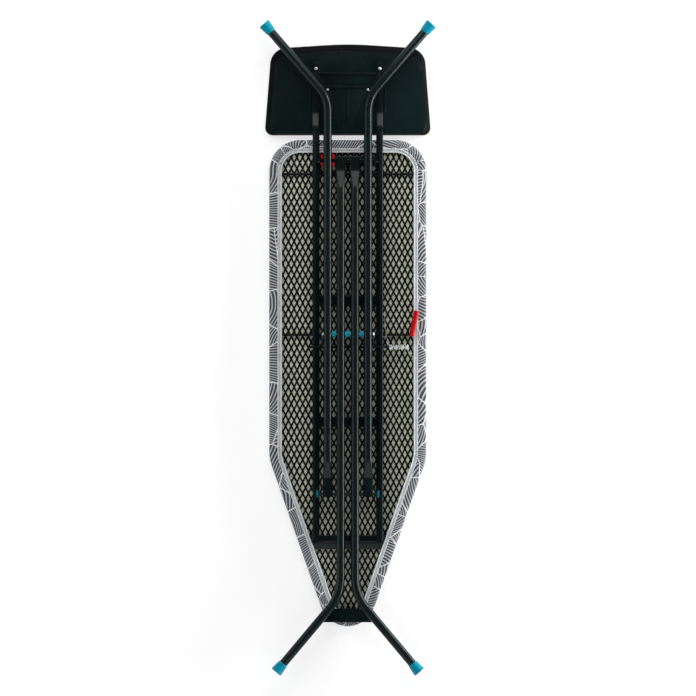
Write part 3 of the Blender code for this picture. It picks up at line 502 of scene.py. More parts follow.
def clearOfRails(x, y):
    # 0 where a rail, the nose cap or the nose bar lies on the cover's lip, else 1
    underRails = max(0.0, min(1.0, (abs(x) - 0.098) / 0.02)) if y > 0.45 else 1.0
    underCap = max(0.0, min(1.0, (y + 0.655) / 0.03)) if y < 0.0 else 1.0
    return underRails * underCap


# cover
cover = {
    "spacing": 3.4 * mm, "thickness": 0.5 * mm, "lipWidth": 23 * mm, "crown": 1.3 * mm,
    "gatherPitch": 9 * mm, "gatherDepth": 2.0 * mm,
    # (inset, height) from the ironing face round the edge to the hem under the tape
    "profile": [(9.0, 0.25), (4.0, 0.3), (1.8, 0.8), (0.6, 2.2), (0.1, 4.5), (0.0, 7.5), (0.15, 10.5),
                (0.7, 13.0), (1.9, 14.7), (4.0, 15.3), (7.0, 15.5), (10.5, 15.5), (14.0, 15.45),
                (17.5, 15.35), (20.5, 15.25), (23.0, 15.1)],
}


def makeCover():
    c = cover
    points = boardOutline(c["spacing"])
    outward = outwardOf(points)
    sharp = cornerSharpness(points, 8)
    along, girth = distanceAlong(points)
    bm = bmesh.new()
    flat = {}
    rings = []
    travelled = 0.0
    last = None
    for step, (inset, height) in enumerate(c["profile"]):
        inset, height = inset * mm, height * mm
        if last is None:
            ring = newRing(bm, [p - o * inset for p, o in zip(points, outward)])
            travelled = -inset
        else:
            ring = followRing(bm, rings[-1])
            travelled += math.hypot(inset - last[0], height - last[1])
        share = max(0.0, (height - 9 * mm) / (6 * mm)) * min(1.0, inset / (3 * mm))
        across = min(1.0, max(0.0, inset / c["lipWidth"]))
        for v, p, o, s, a in zip(ring, points, outward, sharp, along):
            free = clearOfRails(p.x, p.y) * share
            gather = math.sin(math.tau * a / c["gatherPitch"]
                              + 2.5 * noise.noise(Vector((a * 14, 0.3, 0.0))))
            depth = c["gatherDepth"] * (0.08 + 0.92 * s) * across ** 1.3
            crown = c["crown"] * math.sin(math.pi * min(1.0, across * 1.05)) * (0.55 + 0.45 * s)
            soft = 0.35 * mm * noise.noise(Vector((p.x * 22, p.y * 22, inset * 60)))
            v.co = p - o * inset
            v.co.z = height + free * (crown + depth * gather + soft)
            place = p + o * travelled
            flat[v] = (place.x, place.y)
        rings.append(ring)
        last = (inset, height)
    bm.faces.new(list(reversed(rings[0])))
    layer = bm.loops.layers.uv.new("flat")
    for face in bm.faces:
        for loop in face.loops:
            loop[layer].uv = flat[loop.vert]
    piece = finishPiece("coverSheet", bm, "cotton", "board", ("cover_face", "cover_side_band"))
    area = abs(sum(a.x * b.y - b.x * a.y for a, b in zip(points, points[1:] + points[:1]))) / 2
    addWall(piece, c["thickness"], -1.0)
    return piece, area + girth * travelled, travelled


# tape
tape = {
    "spacing": 2.0 * mm, "gatherPitch": 6.4 * mm, "gatherDepth": 0.36 * mm,
    # (inset, height) over the tape and down round the rim's inner edge
    "profile": [(21.6, 14.75), (21.4, 15.3), (22.0, 15.55), (23.2, 15.6), (24.4, 15.3), (26.0, 15.2),
                (28.0, 15.2), (29.8, 15.3), (30.9, 15.6), (32.0, 15.4), (32.7, 14.4), (32.6, 13.1),
                (32.1, 13.0), (31.9, 14.2), (31.0, 14.75), (26.0, 14.72)],
}


def makeTape():
    t = tape
    points = boardOutline(t["spacing"])
    outward = outwardOf(points)
    sharp = cornerSharpness(points, 14)
    along, girth = distanceAlong(points)
    bm = bmesh.new()
    flat = {}
    rings = []
    span = 0.0
    last = None
    for inset, height in [(i * mm, h * mm) for i, h in t["profile"]]:
        ring = newRing(bm, points) if last is None else followRing(bm, rings[-1])
        span += math.hypot(inset - last[0], height - last[1]) if last else 0.0
        upper = 1.0 if height > 14.9 * mm else 0.0
        for v, p, o, s, a in zip(ring, points, outward, sharp, along):
            gather = math.sin(math.tau * a / t["gatherPitch"] + 3 * noise.noise(Vector((a * 30, 5, 1))))
            lift = clearOfRails(p.x, p.y) * upper
            wobble = 0.35 * mm * noise.noise(Vector((p.x * 60, p.y * 60, 2.0))) * (0.3 + s)
            v.co = p - o * (inset + wobble)
            v.co.z = height + lift * (t["gatherDepth"] * gather * (0.4 + 2.6 * s) + 1.1 * mm * s)
            flat[v] = (a, span)
        rings.append(ring)
        last = (inset, height)
    for a, b, c, d in zip(rings[-1], rings[-1][1:] + rings[-1][:1],
                          rings[0][1:] + rings[0][:1], rings[0]):
        bm.faces.new((a, b, c, d))
    layer = bm.loops.layers.uv.new("flat")
    for face in bm.faces:
        seam = max(flat[v][0] for v in face.verts) - min(flat[v][0] for v in face.verts) > girth / 2
        for loop in face.loops:
            u, w = flat[loop.vert]
            loop[layer].uv = (u + girth if seam and u < girth / 2 else u, w)
    return finishPiece("coverTape", bm, "binding", "board", ("cover_binding_tape",))


# stitching along the tape
stitches = {"pitch": 4.2 * mm, "length": 2.9 * mm, "radius": 0.28 * mm, "insets": (24.6 * mm, 29.6 * mm),
    "height": 15.35 * mm, "lift": 0.25 * mm}


def makeStitching():
    s = stitches
    bm = bmesh.new()
    for inset in s["insets"]:
        points = boardOutline(s["pitch"], inset)
        for a, b in zip(points, points[1:] + points[:1]):
            run = (b - a).normalized() * s["length"] / 2
            middle = (a + b) / 2
            middle.z = s["height"] + s["lift"] * clearOfRails(middle.x, middle.y)
            bmesh.ops.create_icosphere(bm, subdivisions=1, radius=1.0, matrix=alongAxis(middle, run)
                                       @ Matrix.Diagonal((s["radius"], s["radius"], run.length, 1)))
    return finishPiece("tapeStitching", bm, "binding", "board", recalculate=False, sharpAngle=80)


def trimToBoard(bm, inset):
    # cuts an open sheet back to the board's outline
    points = boardOutline(24 * mm, inset)
    for p, o in zip(points, outwardOf(points)):
        bmesh.ops.bisect_plane(bm, geom=bm.verts[:] + bm.edges[:] + bm.faces[:], dist=1e-7, plane_co=p,
                               plane_no=o, clear_outer=True)


# expanded metal and the felt that shows through it share one lattice of diamonds
lattice = {
    "pitchX": 14.6 * mm, "pitchY": 28.8 * mm, "strand": 4.2 * mm, "sheet": 1.4 * mm, "twist": 0.35 * mm,
    "shiftX": 0.6 * mm, "shiftY": 4.0 * mm, "middleY": -90 * mm, "count": 96,
    "reach": (215 * mm, 645 * mm), "rimInset": 4.5 * mm,
}


def newLattice(subdivisions):
    g = lattice
    bm = bmesh.new()
    skew = Matrix(((g["pitchX"] / 2, -g["pitchX"] / 2, 0, g["shiftX"]),
        (g["pitchY"] / 2, g["pitchY"] / 2, 0, g["shiftY"] + g["middleY"]), (0, 0, 1, 0), (0, 0, 0, 1)))
    segments = g["count"] * subdivisions
    bmesh.ops.create_grid(bm, x_segments=segments, y_segments=segments, size=g["count"] / 2)
    bmesh.ops.transform(bm, matrix=skew, verts=bm.verts)
    far = [v for v in bm.verts
           if abs(v.co.x) > g["reach"][0] or abs(v.co.y - g["middleY"]) > g["reach"][1]]
    bmesh.ops.delete(bm, geom=far, context="VERTS")
    return bm


def makeExpandedMesh():
    g = lattice
    bm = newLattice(1)
    diamonds = bm.faces[:]
    centres = {f: f.calc_center_median() for f in diamonds}
    bmesh.ops.inset_individual(bm, faces=diamonds, thickness=g["strand"] / 2, use_even_offset=True)
    for f in diamonds:
        for v in f.verts:
            # each strand is a little twisted, as slit and stretched metal is
            v.co.z += g["twist"] * (1 if v.co.y > centres[f].y else -1)
    bmesh.ops.delete(bm, geom=diamonds, context="FACES")
    trimToBoard(bm, g["rimInset"])
    low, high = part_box("mesh_panel")
    bmesh.ops.translate(bm, verts=bm.verts, vec=(0, 0, (low.z + high.z) / 2 + 0.1 * mm))
    piece = finishPiece("expandedMesh", bm, "mesh", "board", ("mesh_panel",))
    addWall(piece, g["sheet"])


# felt
felt = {"bulge": 0.9 * mm, "top": 5.3 * mm, "bottom": 1.0 * mm, "divisions": 4, "rimInset": 2.4 * mm}


def makeFelt():
    g, f = lattice, felt
    bm = newLattice(f["divisions"])
    for v in bm.verts:
        # place inside its diamond, counted along the two strands
        x = (v.co.x - g["shiftX"]) / g["pitchX"]
        y = (v.co.y - g["shiftY"] - g["middleY"]) / g["pitchY"]
        swell = math.sin(math.pi * ((x + y) % 1.0)) * math.sin(math.pi * ((y - x) % 1.0))
        v.co.z = f["top"] + f["bulge"] * swell ** 0.7 + 0.2 * mm * noise.noise(v.co * 90)
    trimToBoard(bm, f["rimInset"])
    piece = finishPiece("underlayPad", bm, "felt", "board", ("underlay_pad",), sharpAngle=80)
    upward = piece.data.polygons[0].normal.z > 0
    addWall(piece, f["top"] - f["bottom"], -1.0 if upward else 1.0)
    return piece


coverSheet, coverArea, coverTurnIn = makeCover()
coverTape = makeTape()
tapeStitching = makeStitching()
makeExpandedMesh()
underlayPad = makeFelt()


# rails: open channels whose ends step down to tabs under the iron rest's screws
rail = {
    "outerX": 90.7 * mm, "innerX": 72.7 * mm, "flangeX": 81.5 * mm, "low": 15.8 * mm, "high": 35.6 * mm,
    "noseY": -495.5 * mm, "headY": 572.0 * mm, "sheet": 1.6 * mm, "bend": 1.8 * mm, "softEdge": 0.3 * mm,
    "slotX": (87 * mm, 93 * mm), "slotY": (-2.4 * mm, 9.6 * mm), "slotZ": (17.7 * mm, 31 * mm),
    "slopeEndY": 603 * mm, "tabEndY": 735 * mm, "tabTop": 17.8 * mm, "tabSheet": 2.0 * mm,
    "tabRootX": 76 * mm, "tabCorner": 5 * mm, "screw": (82.0 * mm, 717.9 * mm), "screwHole": 2.9 * mm,
    # (radius, height) of a near-black ring under the screw: painted shade standing for the dark recess round
    # it
    "cup": [(5.3, 0.1), (6.2, 0.1), (6.7, 0.4), (6.5, 1.0), (5.6, 1.2), (5.3, 0.8), (5.3, 0.1)],
}


def pulledSheet(profile, axis, start, end, bend):
    # an open profile of bent sheet; the bends are rounded before the sheet gets its thickness
    bm = bmesh.new()
    run = Vector((end - start, 0, 0)) if axis == "X" else Vector((0, end - start, 0))
    verts = [bm.verts.new((start, a, b) if axis == "X" else (a, start, b)) for a, b in profile]
    edges = [bm.edges.new(pair) for pair in zip(verts, verts[1:])]
    made = bmesh.ops.extrude_edge_only(bm, edges=edges)
    bmesh.ops.translate(bm, verts=vertsOf(made["geom"]), vec=run)
    roundOff(bm, [e for e in bm.edges if len(e.link_faces) == 2], bend, 4)
    return bm


def makeRail(title, word, side):
    r = rail
    half = r["sheet"] / 2
    outer, flangeZ = r["outerX"] - half, r["high"] - half
    profile = [(side * r["flangeX"], flangeZ), (side * outer, flangeZ),
        (side * outer, r["low"] + half), (side * r["innerX"], r["low"] + half)]
    channel = finishPiece("rail" + title, pulledSheet(profile, "Y", r["noseY"], r["headY"], r["bend"]),
        "sheet", "board", ("rail_" + word,))
    addWall(channel, r["sheet"])
    bakeShape(channel)
    x0, x1 = sorted(side * x for x in r["slotX"])
    (y0, y1), (z0, z1) = r["slotY"], r["slotZ"]
    cutWith(channel, newBlock((x0, y0, z0), (x1, y1, z1), 1.4 * mm))
    addSoftEdge(channel, r["softEdge"])

    tabZ = r["tabTop"] - r["tabSheet"] / 2
    rows = [(r["headY"] - 16 * mm, flangeZ, r["tabRootX"]), (r["headY"] - 2 * mm, flangeZ, r["tabRootX"]),
        (r["slopeEndY"], tabZ, r["innerX"]), (r["tabEndY"], tabZ, r["innerX"])]
    bm = bmesh.new()
    ends = [(bm.verts.new((side * x, y, z)), bm.verts.new((side * (r["outerX"] - 0.2 * mm), y, z)))
        for y, z, x in rows]
    for (a, b), (c, d) in zip(ends, ends[1:]):
        bm.faces.new((a, b, d, c))
    roundOff(bm, [e for e in bm.edges if len(e.link_faces) == 2], r["tabCorner"], 6)
    roundOff(bm, [v for v in bm.verts if v.co.y > r["tabEndY"] - mm], r["tabCorner"], 5, "VERTICES")
    tab = finishPiece("railTab" + title, bm, "sheet", "board")
    addWall(tab, r["tabSheet"])
    bakeShape(tab)
    x, y = side * r["screw"][0], r["screw"][1]
    cutWith(tab, newRod((x, y, 10 * mm), (x, y, 25 * mm), r["screwHole"]))
    addSoftEdge(tab, r["softEdge"])

    # a near-black ring round the screw's seat, painted shade in place of the recess round the screw
    washer = newTurned([(a * mm, b * mm) for a, b in r["cup"]], Matrix.Translation((x, y, r["tabTop"])))
    finishPiece("screwRecessShade" + title, washer, "mesh", "board")


# cross braces, shallow channels across the mesh
braces = {
    "low": 8.4 * mm, "high": 15.5 * mm, "sheet": 1.2 * mm, "half": 90.7 * mm, "bend": 2.2 * mm,
    "spans": {"head_brace": (467.8 * mm, 493.5 * mm), "brace_upper": (108.8 * mm, 135.0 * mm),
        "brace_lower": (-203.2 * mm, -177.0 * mm)},
}


def makeBraces():
    b = braces
    for node, (y0, y1) in b["spans"].items():
        y0, y1, top = y0 + b["sheet"] / 2, y1 - b["sheet"] / 2, b["high"] - b["sheet"] / 2
        bm = pulledSheet([(y0, b["low"]), (y0, top), (y1, top), (y1, b["low"])], "X", -b["half"], b["half"],
            b["bend"])
        first, *rest = node.split("_")
        brace = finishPiece(first + "".join(word.title() for word in rest), bm, "sheet", "board", (node,))
        addWall(brace, b["sheet"])
        addSoftEdge(brace, 0.25 * mm)


# nose bar and nose cap
nose = {
    "barProfile": [(-517.0, 8.4), (-517.0, 11.0), (-503.0, 14.0), (-500.5, 18.5), (-498.5, 18.5),
                   (-497.0, 14.9), (-482.2, 14.9), (-482.2, 8.4)],
    "barHalfLength": 130 * mm, "barSheet": 1.2 * mm, "clearOfRim": 32.1 * mm,
    "capHalfWidth": 64 * mm, "capY": (-705.5 * mm, -670.0 * mm), "capZ": (15.9 * mm, 24.0 * mm),
}


def makeNose():
    n = nose
    profile = [(y * mm, z * mm) for y, z in n["barProfile"]]
    bm = pulledSheet(profile, "X", -n["barHalfLength"], n["barHalfLength"], 0.9 * mm)
    b = board
    clear = b["taperAtOrigin"] - n["clearOfRim"] / math.cos(b["taper"])
    for side in (-1, 1):
        normal = Vector((side * math.cos(b["taper"]), -math.sin(b["taper"]), 0))
        bmesh.ops.bisect_plane(bm, geom=bm.verts[:] + bm.edges[:] + bm.faces[:], clear_outer=True,
                               plane_co=(side * clear, 0, 0), plane_no=normal)
    bar = finishPiece("noseBar", bm, "sheet", "board", ("nose_bar",), sharpAngle=60)
    addWall(bar, n["barSheet"])
    addSoftEdge(bar, 0.25 * mm)

    half, (y0, y1), (z0, z1) = n["capHalfWidth"], n["capY"], n["capZ"]
    outline = roundedOutline([(half, y0, 4 * mm), (half, y1, 6 * mm), (-half, y1, 6 * mm),
                              (-half, y0, 4 * mm)], steps=8)
    bm = newPulled([(p.x, p.y, z0) for p in outline], (0, 0, z1 - z0))
    cap = finishPiece("noseCap", bm, "rest", "board", ("nose_cap",))
    addSoftEdge(cap, 2.4 * mm, 4)


# welds: lumpy fillets laid along the joins
def weldBead(start, end, radius, seed):
    start, end = Vector(start), Vector(end)
    count = max(6, round((end - start).length / (1.1 * mm)))
    bm = newWire([start.lerp(end, k / count) for k in range(count + 1)], radius, 2)
    for v in bm.verts:
        along = (v.co - start).dot((end - start).normalized())
        swell = 0.25 * math.sin(along / (0.9 * mm)) + 0.5 * noise.noise(v.co * 400 + Vector((seed, 0, 0)))
        middle = start + (end - start).normalized() * along
        v.co = middle + (v.co - middle) * (1.0 + swell)
    return bm


def makeFrameWelds():
    beads = []
    for node, (y0, y1) in braces["spans"].items():
        for side in (-1, 1):
            for x in (rail["innerX"] - 0.2 * mm, rail["outerX"] - 0.3 * mm):
                if node == "head_brace" and x < 80 * mm:
                    continue
                beads.append(weldBead((side * x, y0 + 4 * mm, 15.7 * mm), (side * x, y1 - 4 * mm, 15.7 * mm),
                    0.9 * mm, len(beads)))
    finishPiece("frameWelds", joinShapes(*beads), "sheet", "board", sharpAngle=80)


# thin rod across the head end
headRod = {"y": 446.8 * mm, "z": 11.4 * mm, "radius": 3.0 * mm, "half": 170 * mm}


def makeHeadRod():
    h = headRod
    rod = finishPiece("headRod", rodAcross(-h["half"], h["half"], h["y"], h["z"], h["radius"], 28), "wire",
        "board", ("head_rod",))
    addSoftEdge(rod, 0.6 * mm)


# pivot brackets, transport clip and saddles
pivot = {"y": 481.5 * mm, "z": 25.7 * mm, "radius": 7.0 * mm, "half": 71.3 * mm, "wall": 1.2 * mm}
lever = {
    "y": 33.5 * mm, "z": 11.4 * mm, "radius": 3.0 * mm, "leftX": -170 * mm, "rightX": 165 * mm,
    "gripZ": 34.0 * mm, "tilt": math.radians(11.0), "gripLength": 62 * mm,
    "gripStart": -4 * mm, "gripMoulding": 67 * mm, "gripFlatness": 1.06, "lockY": 2.1 * mm,
    "lockZ": 21.0 * mm, "lockX": (-99 * mm, 103 * mm), "armX": 65 * mm, "armSheet": 3 * mm,
    "armOutline": [(36.5, 9.2), (37.5, 15.5), (7.5, 25.5), (-3.0, 25.5), (-3.0, 16.8), (3.0, 16.8),
                   (29.0, 8.8)],
}


bracket = {"x": 70 * mm, "footX": 84 * mm, "top": 36 * mm, "low": 18.7 * mm, "half": 13 * mm,
    "sheet": 2.0 * mm, "bend": 2.0 * mm, "corner": 5 * mm, "boreGap": 0.3 * mm}


def makeBracket(title, word, side):
    b, y = bracket, pivot["y"]
    profile = [(side * b["x"], b["top"]), (side * b["x"], b["low"]), (side * b["footX"], b["low"])]
    bm = pulledSheet(profile, "Y", y - b["half"], y + b["half"], b["bend"])
    roundOff(bm, [v for v in bm.verts if v.co.z > b["top"] - 0.1 * mm], b["corner"], 5, "VERTICES")
    plate = finishPiece("pivotBracket" + title, bm, "sheet", "board", ("pivot_bracket_" + word,))
    addWall(plate, b["sheet"])
    bakeShape(plate)
    cutWith(plate, rodAcross(side * 60 * mm, side * 78 * mm, y, pivot["z"],
        pivot["radius"] + b["boreGap"], 32))
    addSoftEdge(plate, 0.3 * mm)


clip = {
    "x": (-68.5 * mm, -34.4 * mm), "y": (-15.6 * mm, 16.6 * mm), "z": (15.9 * mm, 47.5 * mm),
    "corner": 4 * mm, "grip": 11.6 * mm, "mouth": (11.3 * mm, 12.8 * mm), "notch": 4.8 * mm,
    "cutX": (-80 * mm, -20 * mm), "cutHalf": 30 * mm, "boreGap": 0.3 * mm, "softEdge": 1.5 * mm,
}


def makeTransportClip():
    # a block with a channel for the folded leg, a bore for the pivot tube and a notch across
    c, y, z = clip, pivot["y"], pivot["z"]
    legX, legZ = -legs["outer"]["x"], legs["z"]
    (x0, x1), (y0, y1), (z0, z1), (cut0, cut1) = c["x"], c["y"], c["z"], c["cutX"]
    bm = newBlock((x0, y + y0, z0), (x1, y + y1, z1))
    roundOff(bm, edgesAlong(bm, 2), c["corner"], 5)
    piece = finishPiece("transportClip", bm, "red", "board", ("transport_clip",))
    near, far, half = y - c["cutHalf"], y + c["cutHalf"], c["notch"]
    way, wide = c["mouth"]
    mouth = newPulled([(legX - way, near, legZ), (legX + way, near, legZ),
        (legX + wide, near, legZ + 10 * mm), (legX - wide, near, legZ + 10 * mm)], (0, far - near, 0))
    cutWith(piece, newRod((legX, near, legZ), (legX, far, legZ), c["grip"], 48), mouth,
        rodAcross(cut0, cut1, y, z, pivot["radius"] + c["boreGap"], 40),
        newBlock((cut0, y - half, z + 4 * mm), (cut1, y + half, 60 * mm), 1.2 * mm))
    addSoftEdge(piece, c["softEdge"], 4)


saddle = {"x": (77 * mm, 88 * mm), "half": 8 * mm, "z": (8.4 * mm, 15.5 * mm), "corner": 4.5 * mm,
    "boreGap": 0.3 * mm}


def makeSaddle(title, word, side):
    s, y, z = saddle, lever["y"], lever["z"]
    (x0, x1), (z0, z1) = sorted(side * x for x in s["x"]), s["z"]
    bm = newBlock((x0, y - s["half"], z0), (x1, y + s["half"], z1))
    ridge = [e for e in edgesAlong(bm, 0) if min(v.co.z for v in e.verts) > z1 - 0.5 * mm]
    roundOff(bm, ridge, s["corner"], 6)
    piece = finishPiece("leverSaddle" + title, bm, "sheet", "board", ("lever_saddle_" + word,))
    bore = lever["radius"] + s["boreGap"]
    cutWith(piece, rodAcross(x0 - mm, x1 + mm, y, z, bore),
        newBlock((x0 - mm, y - bore, 5 * mm), (x1 + mm, y + bore, z)))
    addSoftEdge(piece, 0.3 * mm)


# return spring
spring = {
    "wire": 0.8 * mm, "radius": 6.5 * mm, "turns": 8, "steps": 28, "x": (106.5 * mm, 154 * mm),
    "z": 21.5 * mm, "stepOn": 0.75,
    "railLeg": [(94.5, 76.5, 21.5), (96.2, 50.0, 21.5), (100.0, 26.0, 21.5), (104.5, 12.5, 21.5)],
    "rimHook": [(155.2, -3.0, 17.0), (156.5, -12.0, 15.0), (160.0, -20.5, 13.0), (164.0, -22.5, 12.0),
        (169.5, -22.5, 11.5)],
}


def makeSpring():
    s = spring
    pitch = (s["x"][1] - s["x"][0]) / s["turns"]
    coil = []
    for k in range(s["turns"] * s["steps"] + 1):
        # the wire runs nearly square across the top of each turn and steps on underneath
        turned = math.tau * k / s["steps"]
        run = (turned - s["stepOn"] * (1.0 - math.cos(turned))) / math.tau
        coil.append(Vector((s["x"][0] + pitch * run, lever["lockY"] + s["radius"] * math.cos(turned),
                            s["z"] + s["radius"] * math.sin(turned))))
    leg = smoothPath([Vector(point) * mm for point in s["railLeg"]] + coil[:1])
    hook = smoothPath(coil[-1:] + [Vector(point) * mm for point in s["rimHook"]])
    finishPiece("returnSpring", newWire(leg[:-1] + coil + hook[1:], s["wire"]), "zinc", "board",
                ("return_spring",), sharpAngle=80)


# iron rest: a moulded pan with ribs on its back
rest = {
    "top": 15.5 * mm, "edge": 2.0 * mm, "sheet": 2.2 * mm, "slope": (14 * mm, 4 * mm, 21 * mm),
    "foot": (214.0 * mm, 546.0 * mm, 20 * mm), "head": (196.5 * mm, 769 * mm, 44 * mm),
    "arch": (781.5 * mm, 900 * mm), "bend": 2.6 * mm, "lip": 3.0 * mm,
    # (x, y) at both ends, half width, height above the panel
    "ribs": [((-70.5, 705), (70.5, 705), 2.6, 3.0), ((-66, 671), (66, 671), 2.4, 2.8),
             ((0, 577), (0, 660), 1.3, 1.0), ((94.8, 604), (94.8, 672), 1.5, 2.6),
             ((-94.8, 604), (-94.8, 672), 1.5, 2.6), ((92.6, 684), (92.6, 736), 1.1, 1.4),
             ((-92.6, 684), (-92.6, 736), 1.1, 1.4)],
    "archLine": [(-135, 752.5), (-90, 756.6), (-45, 759.2), (0, 760.1), (45, 759.2), (90, 756.6),
                 (135, 752.5)],
    "footLine": [(-188, 556.5), (188, 556.5)],
}


def restOutline(inset=0.0, footInset=0.0, archInset=0.0):
    r = rest
    footX, footY = r["foot"][0] - inset, r["foot"][1] + footInset
    headX, headY, headRadius = r["head"][0] - inset, r["head"][1] - archInset, r["head"][2] - inset / 2
    return roundedOutline([(footX, footY, r["foot"][2]), (headX, headY, headRadius),
                           (0.0, r["arch"][0] - archInset, r["arch"][1]), (-headX, headY, headRadius),
                           (-footX, footY, r["foot"][2])], steps=14)


def makeIronRest():
    r = rest
    bm = bmesh.new()
    # a narrow upright lip, the sloping side, then the flat panel
    levels = [((0.0, 0.0, 0.0), r["edge"]), ((0.3 * mm, 0.2 * mm, 0.3 * mm), r["edge"] + r["lip"]),
              (r["slope"], r["top"])]
    rings = []
    for insets, height in levels:
        ring = newRing(bm, restOutline()) if not rings else followRing(bm, rings[-1])
        for v, p in zip(ring, restOutline(*insets)):
            v.co = (p.x, p.y, height)
        rings.append(ring)
    bm.faces.new(rings[-1])
    inner = set(rings[-1]) | set(rings[1])
    folds = [e for e in bm.edges if e.verts[0] in inner and e.verts[1] in inner
             and abs(e.verts[0].co.z - e.verts[1].co.z) < 1e-6]
    bmesh.ops.bevel(bm, geom=folds, offset=r["bend"], offset_type="OFFSET", segments=5, profile=0.5,
                    affect="EDGES", material=-1, clamp_overlap=True)
    pan = finishPiece("ironRest", bm, "rest", "board", ("iron_rest_tray",), sharpAngle=50)
    addWall(pan, r["sheet"], -1.0)
    bakeShape(pan)
    holes = [newRod((side * s["x"], s["y"], 5 * mm), (side * s["x"], s["y"], 25 * mm), s["hole"])
        for side in (-1, 1) for s in screws.values()]
    cutWith(pan, *holes)
    addSoftEdge(pan, 0.5 * mm)

    shapes = []
    for (x0, y0), (x1, y1), half, height in r["ribs"]:
        low = Vector((min(x0, x1) - half, min(y0, y1) - half, -1.2)) * mm + Vector((0, 0, r["top"]))
        high = Vector((max(x0, x1) + half, max(y0, y1) + half, height)) * mm + Vector((0, 0, r["top"]))
        shapes.append(newBlock(low, high, min(half, height) * 0.62 * mm, 4))
    for line, radius in ((r["archLine"], 1.5 * mm), (r["footLine"], 0.9 * mm)):
        path = smoothPath([(x * mm, y * mm, r["top"] - 0.2 * mm) for x, y in line], 8)
        shapes.append(newWire(path, radius, 3))
    finishPiece("restRibs", joinShapes(*shapes), "rest", "board")


# screws with a cross recess; the large ones go through the rails' tabs
screws = {
    "restScrew": {"node": "rest_screw_", "x": 82.0 * mm, "y": 717.9 * mm, "seat": 18.1 * mm,
        "head": 4.3 * mm, "height": 2.6 * mm, "shank": 2.5 * mm, "hole": 2.9 * mm},
    "traySmallScrew": {"node": "tray_screw_", "x": 51.4 * mm, "y": 664.0 * mm, "seat": 15.8 * mm,
        "head": 2.9 * mm, "height": 1.7 * mm, "shank": 1.7 * mm, "hole": 2.0 * mm},
}
# shares of the head's radius and height
screwDome = [(0, 1), (0.35, 0.97), (0.62, 0.86), (0.84, 0.62), (0.97, 0.28)]


def makeScrew(kind, title, word, side):
    s = screws[kind]
    x, y, seat, head, shank = side * s["x"], s["y"], s["seat"], s["head"], s["shank"]
    profile = [(head * a, s["height"] * b) for a, b in screwDome] + [(head, 0.15 * mm), (head * 0.97, 0),
        (shank, 0), (shank, -4.0 * mm), (shank * 0.6, -4.5 * mm), (0, -4.5 * mm)]
    screw = finishPiece(kind + title, newTurned(profile, Matrix.Translation((x, y, seat))), "zinc", "board",
        (s["node"] + word,))
    arm, half = head * 0.48, head * 0.11
    low, high = seat + s["height"] * 0.35, seat + s["height"] * 2
    cutWith(screw, newBlock((x - arm, y - half, low), (x + arm, y + half, high)),
        newBlock((x - half, y - arm, low), (x + half, y + arm, high)))


# legs: round tubes pressed flat at one end, bent outwards at the other
legs = {
    "radius": 11 * mm, "wall": 1.2 * mm, "z": 44.2 * mm, "flatHalf": (12.4 * mm, 2.0 * mm),
    "footY": 833.9 * mm, "sole": 4.3 * mm, "centreY": 35.6 * mm, "boltHole": 3.3 * mm, "sides": 40,
    # (radius, height) of a foot cap, from the middle of its sole up and round its lip
    "cap": [(0, 0), (9.5, 0), (12.9, -0.25), (14.3, -0.8), (15.1, -1.9), (15.35, -3.2), (15.0, -6.6),
        (14.7, -7.0), (14.75, -7.4), (12.85, -26.6), (12.7, -28.0), (12.2, -28.8), (11.3, -29.0),
        (11.3, -5.0), (10.6, -4.2), (0, -4.2)],
    "inner": {"x": 18.5 * mm, "footX": 184.8 * mm, "splay": math.radians(50.0), "bend": 122 * mm,
              "toward": -1, "flatZ": 35.0 * mm, "flat": (491.0 * mm, 456.5 * mm, 411.5 * mm)},
    "outer": {"x": 51.9 * mm, "footX": 215.8 * mm, "splay": math.radians(49.4), "bend": 95 * mm,
              "toward": 1, "flatZ": 32.0 * mm, "flat": (-383.3 * mm, -335.6 * mm, -290.6 * mm)},
}


def pressFlat(bm, x, flatZ, edgeY, roundY):
    # squeezes the round tube into a flat end, easing between the two
    g = legs
    for v in bm.verts:
        t = (v.co.y - edgeY) / (roundY - edgeY)
        if t < 1.0:
            t = max(0.0, t)
            power = 2.0 / (3.5 - 1.5 * t ** 4)
            c, s = (v.co.x - x) / g["radius"], (v.co.z - g["z"]) / g["radius"]
            wide = g["flatHalf"][0] + (g["radius"] - g["flatHalf"][0]) * t
            high = g["flatHalf"][1] + (g["radius"] - g["flatHalf"][1]) * t
            v.co.x = x + math.copysign(wide * abs(c) ** power, c)
            v.co.z = flatZ + (g["z"] - flatZ) * t + math.copysign(high * abs(s) ** power, s)


